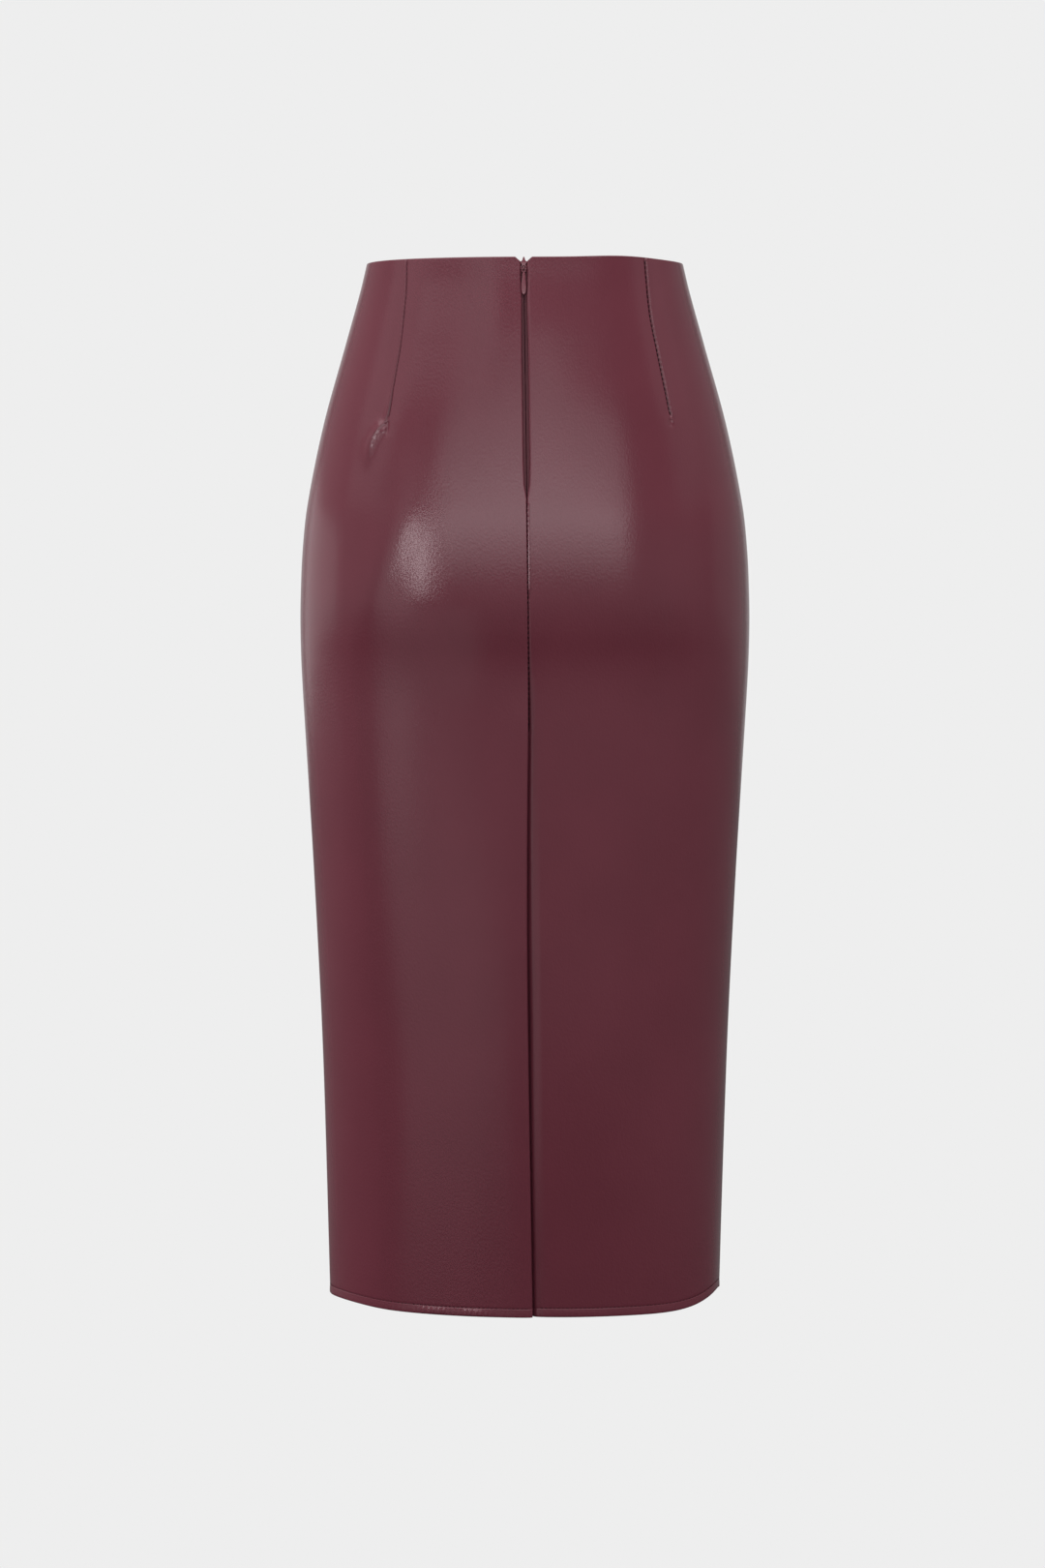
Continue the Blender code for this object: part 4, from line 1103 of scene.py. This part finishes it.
def bottom_stop():
    out = COIL_FACE - STOP_SIZE[1] / 2
    return metal_piece("stop", [rounded_block(STOP_SIZE)], STOP_DROP, out, GARMENT, "zip_bottom_stop")


# ---- materials ----
def new_material(name, **constants):
    """A material and its node tree, with the shader's constants by name."""
    material = bpy.data.materials.new(name)
    material.use_nodes = True
    for key, value in constants.items():
        material.node_tree.nodes["Principled BSDF"].inputs[key.replace("_", " ")].default_value = value
    return material, material.node_tree


def add_node(tree, kind, **values):
    """A node, with its properties by name and its inputs by 'in_NAME'."""
    node = tree.nodes.new("ShaderNode" + kind)
    for key, value in values.items():
        if key.startswith("in_"):
            node.inputs[key[3:].replace("_", " ")].default_value = value
        else:
            setattr(node, key, value)
    return node


def link(source, socket):
    socket.id_data.links.new(source, socket)


def feed(tree, source, name):
    """Links a source to one of the shader's inputs."""
    link(source, tree.nodes["Principled BSDF"].inputs[name])


def flat_place(tree):
    return add_node(tree, "UVMap", uv_map="surface").outputs["UV"]


def piece_place(tree):
    return add_node(tree, "TexCoord").outputs["Object"]


def texture(tree, place, kind, along=1.0, **values):
    """A texture at the place's coordinates, of which the second can be shortened."""
    node = add_node(tree, "Tex" + kind, **values)
    if along != 1.0:
        mapping = add_node(tree, "Mapping", in_Scale=(1.0, along, 1.0))
        link(place, mapping.inputs["Vector"])
        place = mapping.outputs["Vector"]
    link(place, node.inputs["Vector"])
    return node.outputs["Fac"]


def colour(tree, source, low, high):
    """Gives the shader a colour that goes from low to high with the source."""
    node = tree.nodes.new("ShaderNodeValToRGB")
    for stop, position, value in zip(node.color_ramp.elements, (0.35, 0.65), (low, high)):
        stop.position, stop.color = position, (*value, 1)
    link(source, node.inputs["Fac"])
    feed(tree, node.outputs["Color"], "Base Color")


def bump(tree, height, distance, strength=1.0, under=None):
    """The normals of a relief of this depth, laid over other normals if there are any."""
    node = add_node(tree, "Bump", in_Strength=strength, in_Distance=distance * MM)
    link(height, node.inputs["Height"])
    if under:
        link(under, node.inputs["Normal"])
    return node.outputs["Normal"]


def leather_outside():
    material, tree = new_material("leather_outside", IOR=1.6, Specular_Tint=(1.0, 0.89, 0.92, 1))
    place = flat_place(tree)
    fine = texture(tree, place, "Noise", in_Scale=1600.0, in_Detail=3.0)
    broad = texture(tree, place, "Noise", in_Scale=14.0, in_Detail=4.0)
    wobble = texture(tree, place, "Noise", 0.35, in_Scale=150.0, in_Detail=3.0, in_Roughness=0.6)
    pebble = texture(tree, place, "Noise", 0.62, in_Scale=720.0, in_Detail=2.0, in_Roughness=0.5)
    colour(tree, broad, (0.147, 0.0322, 0.0478), (0.157, 0.0344, 0.0512))
    gloss = add_node(tree, "MapRange", in_From_Min=0.3, in_From_Max=0.7, in_To_Min=0.17, in_To_Max=0.21)
    link(fine, gloss.inputs["Value"])
    feed(tree, gloss.outputs["Result"], "Roughness")
    feed(tree, bump(tree, pebble, PEBBLE, under=bump(tree, wobble, WOBBLE)), "Normal")
    return material


def leather_backing():
    material, tree = new_material("leather_backing", Roughness=0.95, Sheen_Weight=0.25, Sheen_Roughness=0.5)
    place = flat_place(tree)
    loops = texture(tree, place, "Wave", in_Scale=260.0, in_Distortion=1.5, in_Detail=2.0)
    fibre = texture(tree, place, "Noise", in_Scale=700.0, in_Detail=4.0)
    colour(tree, fibre, (0.10, 0.028, 0.038), (0.17, 0.060, 0.075))
    height = add_node(tree, "Math", operation="ADD")
    link(loops, height.inputs[0])
    link(fibre, height.inputs[1])
    feed(tree, bump(tree, height.outputs["Value"], WEAVE, 0.5), "Normal")
    return material


def tape_cloth():
    material, tree = new_material("zip_tape_cloth", Roughness=0.8)
    place = piece_place(tree)
    weave = texture(tree, place, "Wave", bands_direction="Z", in_Scale=420.0, in_Distortion=0.8)
    colour(tree, weave, (0.085, 0.021, 0.030), (0.135, 0.034, 0.048))
    feed(tree, bump(tree, weave, WEAVE, 0.5), "Normal")
    return material


def coil_nylon():
    material, tree = new_material("coil_nylon", Roughness=0.45)
    speck = texture(tree, piece_place(tree), "Noise", in_Scale=900.0, in_Detail=2.0)
    colour(tree, speck, (0.075, 0.020, 0.029), (0.10, 0.030, 0.042))
    return material


def lacquered_metal():
    material, tree = new_material("lacquered_metal", Roughness=0.28, Coat_Weight=0.6, Coat_Roughness=0.12)
    patch = texture(tree, piece_place(tree), "Noise", in_Scale=500.0, in_Detail=3.0)
    colour(tree, patch, (0.175, 0.042, 0.060), (0.215, 0.055, 0.076))
    return material


def thread_and_painted_shade():
    material, tree = new_material("thread_and_painted_shade", Roughness=0.7, IOR=1.15)
    place = piece_place(tree)
    twist = texture(tree, place, "Wave", bands_direction="DIAGONAL", in_Scale=1500.0, in_Distortion=0.5)
    # A very dark thread: real topstitching round the hem, painted shade down the darts and partly painted
    # shade along the closed seam.
    colour(tree, twist, (0.014, 0.005, 0.007), (0.034, 0.010, 0.014))
    return material


def pale_stage():
    material, tree = new_material("pale_stage")
    tree.nodes.remove(tree.nodes["Principled BSDF"])
    glow = add_node(tree, "Emission", in_Color=(0.855, 0.855, 0.855, 1), in_Strength=1.0)
    link(glow.outputs["Emission"], tree.nodes["Material Output"].inputs["Surface"])
    return material


LEATHER_SIDES = [leather_outside(), leather_backing()]
TAPE_CLOTH = tape_cloth()
COIL_NYLON = coil_nylon()
LACQUERED_METAL = lacquered_metal()
DARK_THREAD_AND_PAINTED_SHADE = thread_and_painted_shade()
PALE_STAGE = pale_stage()


# ---- the stage, lights and camera ----
CAMERA_DISTANCE = 3.1
CAMERA_HEIGHT = -0.20
CAMERA_TILT = math.radians(3.513)
CAMERA_ASIDE = -1.8 * MM
FOCAL_PIXELS = 4247.0
PICTURE_HEIGHT = 1620.0
SENSOR = 36.0

# Azimuth 0 is behind the camera, and grows to the picture's right. Degrees, metres and watts
SOFTBOXES = named_rows(
    "name azimuth elevation distance width height power mirrored",
    ("key", 2.5, 17.5, 2.4, 3.0, 0.38, 4.0, True),
    ("key_soft", 3.5, 19, 2.5, 3.2, 1.15, 10.8, True),
    ("left", -35.4, 8.5, 2.3, 0.24, 0.52, 2.3, True),
    ("left_wide", -46, 8, 2.6, 0.72, 1.49, 1.7, True),
    ("low_left", -34, -15, 2.5, 1.76, 0.79, 1.15, True),
    ("high_left", -37.5, 41, 2.4, 1.5, 0.76, 2.6, True),
    ("top", 0, 90, 2.0, 2.13, 2.13, 15.4, True),
    ("left_side", -76, 7, 2.6, 1.78, 1.01, 1.0, True),
    ("left_side_high", -76, 34, 2.6, 1.48, 1.49, 3.3, True),
    ("left_rear", -120, 4, 2.4, 2.23, 0.67, 2.8, True),
    ("left_rear_high", -120, 28.5, 2.4, 1.97, 1.42, 1.5, True),
    ("right_rear", 120, 4, 2.4, 2.23, 0.67, 0.6, True),
    ("right_side_high", 82, 30, 2.6, 1.2, 1.2, 1.0, True),
    ("right_rear_high", 120, 28.5, 2.4, 1.97, 1.42, 1.4, True),
    ("front_low", 14, -6, 2.7, 2.86, 0.95, 0.4, True),
    ("rear", 180, 12.5, 3.0, 3.38, 1.89, 6.2, True),
    ("left_fill", -76, 7, 2.6, 1.78, 1.01, 17.0, False),
    ("left_rear_fill", -120, 4, 2.4, 2.23, 0.67, 26.0, False),
    ("right_fill", 65, 7, 2.6, 1.88, 1.01, 16.0, False),
    ("rear_fill", 180, 12.5, 3.0, 3.38, 1.89, 22.0, False),
)
CEILING_GLOW = 1.16
GLOW = [  # what the room gives at each elevation in degrees, as a share of the ceiling's glow
    (-90, 0.03), (-13, 0.03), (-11, 0.128), (7, 0.136), (9, 0.085), (38, 0.085), (42, 1.0),
]
AIM = Vector((0.0, 0.0, -0.36))
STAGE_FLOOR, STAGE_HEIGHT, STAGE_RADIUS, STAGE_FILLET = -1.05, 9.0, 9.0, 3.0
FILLET_STEPS = 12


def add_softboxes():
    for box in SOFTBOXES:
        azimuth, elevation = math.radians(box.azimuth), math.radians(box.elevation)
        aside, level = math.sin(azimuth), math.cos(elevation)
        towards = Vector((aside * level, -math.cos(azimuth) * level, math.sin(elevation)))
        light = bpy.data.lights.new(box.name, "AREA")
        light.shape = "RECTANGLE"
        light.size, light.size_y = box.width, box.height
        light.energy = box.power
        obj = add_object(box.name, light)
        obj.visible_glossy = box.mirrored
        obj.location = AIM + towards * box.distance
        obj.rotation_euler = towards.to_track_quat("Z", "Y").to_euler()


def add_stage():
    """A seamless pale bowl: a flat floor that turns up into a wall all round."""
    profile = [(0.0, STAGE_FLOOR)]
    for step in range(FILLET_STEPS + 1):
        turn = math.pi / 2 * step / FILLET_STEPS
        across = STAGE_RADIUS - STAGE_FILLET + STAGE_FILLET * math.sin(turn)
        profile.append((across, STAGE_FLOOR + STAGE_FILLET * (1 - math.cos(turn))))
    profile.append((STAGE_RADIUS, STAGE_FLOOR + STAGE_HEIGHT))
    bm = bmesh.new()
    verts = [bm.verts.new((x, 0, z)) for x, z in profile]
    edges = [bm.edges.new(pair) for pair in zip(verts, verts[1:])]
    bmesh.ops.spin(bm, geom=verts + edges, axis=(0, 0, 1), angle=math.tau, steps=64, use_merge=True)
    bmesh.ops.remove_doubles(bm, verts=bm.verts, dist=0.001)
    bmesh.ops.recalc_face_normals(bm, faces=bm.faces)
    mesh = bpy.data.meshes.new("floor")
    bm.to_mesh(mesh)
    bm.free()
    mesh.materials.append(PALE_STAGE)
    mesh.shade_smooth()
    obj = add_object("floor", mesh)
    obj.visible_glossy = obj.visible_diffuse = obj.visible_shadow = False


def add_world():
    """A room that is dim but for its bright ceiling."""
    world = bpy.data.worlds.new("studio")
    bpy.context.scene.world = world
    world.use_nodes = True
    tree = world.node_tree
    direction = add_node(tree, "TexCoord")
    parts = add_node(tree, "SeparateXYZ")
    height = add_node(tree, "MapRange", in_From_Min=-1.0, in_From_Max=1.0)
    glow = add_node(tree, "ValToRGB")
    while len(glow.color_ramp.elements) < len(GLOW):
        glow.color_ramp.elements.new(0.5)
    for stop, (elevation, share) in zip(glow.color_ramp.elements, GLOW):
        stop.position = 0.5 + 0.5 * math.sin(math.radians(elevation))
        stop.color = (share, share, share, 1)
    link(direction.outputs["Generated"], parts.inputs["Vector"])
    link(parts.outputs["Z"], height.inputs["Value"])
    link(height.outputs["Result"], glow.inputs["Fac"])
    link(glow.outputs["Color"], tree.nodes["Background"].inputs["Color"])
    tree.nodes["Background"].inputs["Strength"].default_value = CEILING_GLOW


def add_camera():
    camera = bpy.data.cameras.new("camera")
    camera.sensor_width = SENSOR
    camera.lens = FOCAL_PIXELS / PICTURE_HEIGHT * SENSOR
    camera.clip_start, camera.clip_end = 0.01, 60.0
    obj = add_object("camera", camera)
    obj.location = (CAMERA_ASIDE, -CAMERA_DISTANCE, CAMERA_HEIGHT)
    obj.rotation_euler = (math.pi / 2 - CAMERA_TILT, 0, 0)
    bpy.context.scene.camera = obj


# ---- putting it together ----
left_piece = back_left()
right_piece = back_right()
front_piece = front()
tape_left = tape("tape_left", "zip_tape_left", -1)
tape_right = tape("tape_right", "zip_tape_right", 1)
stitches_and_painted_shade()
coils()
slider()
pull()
bottom_stop()

add_softboxes()
add_stage()
add_world()
add_camera()
bpy.context.scene.view_settings.view_transform = "Standard"
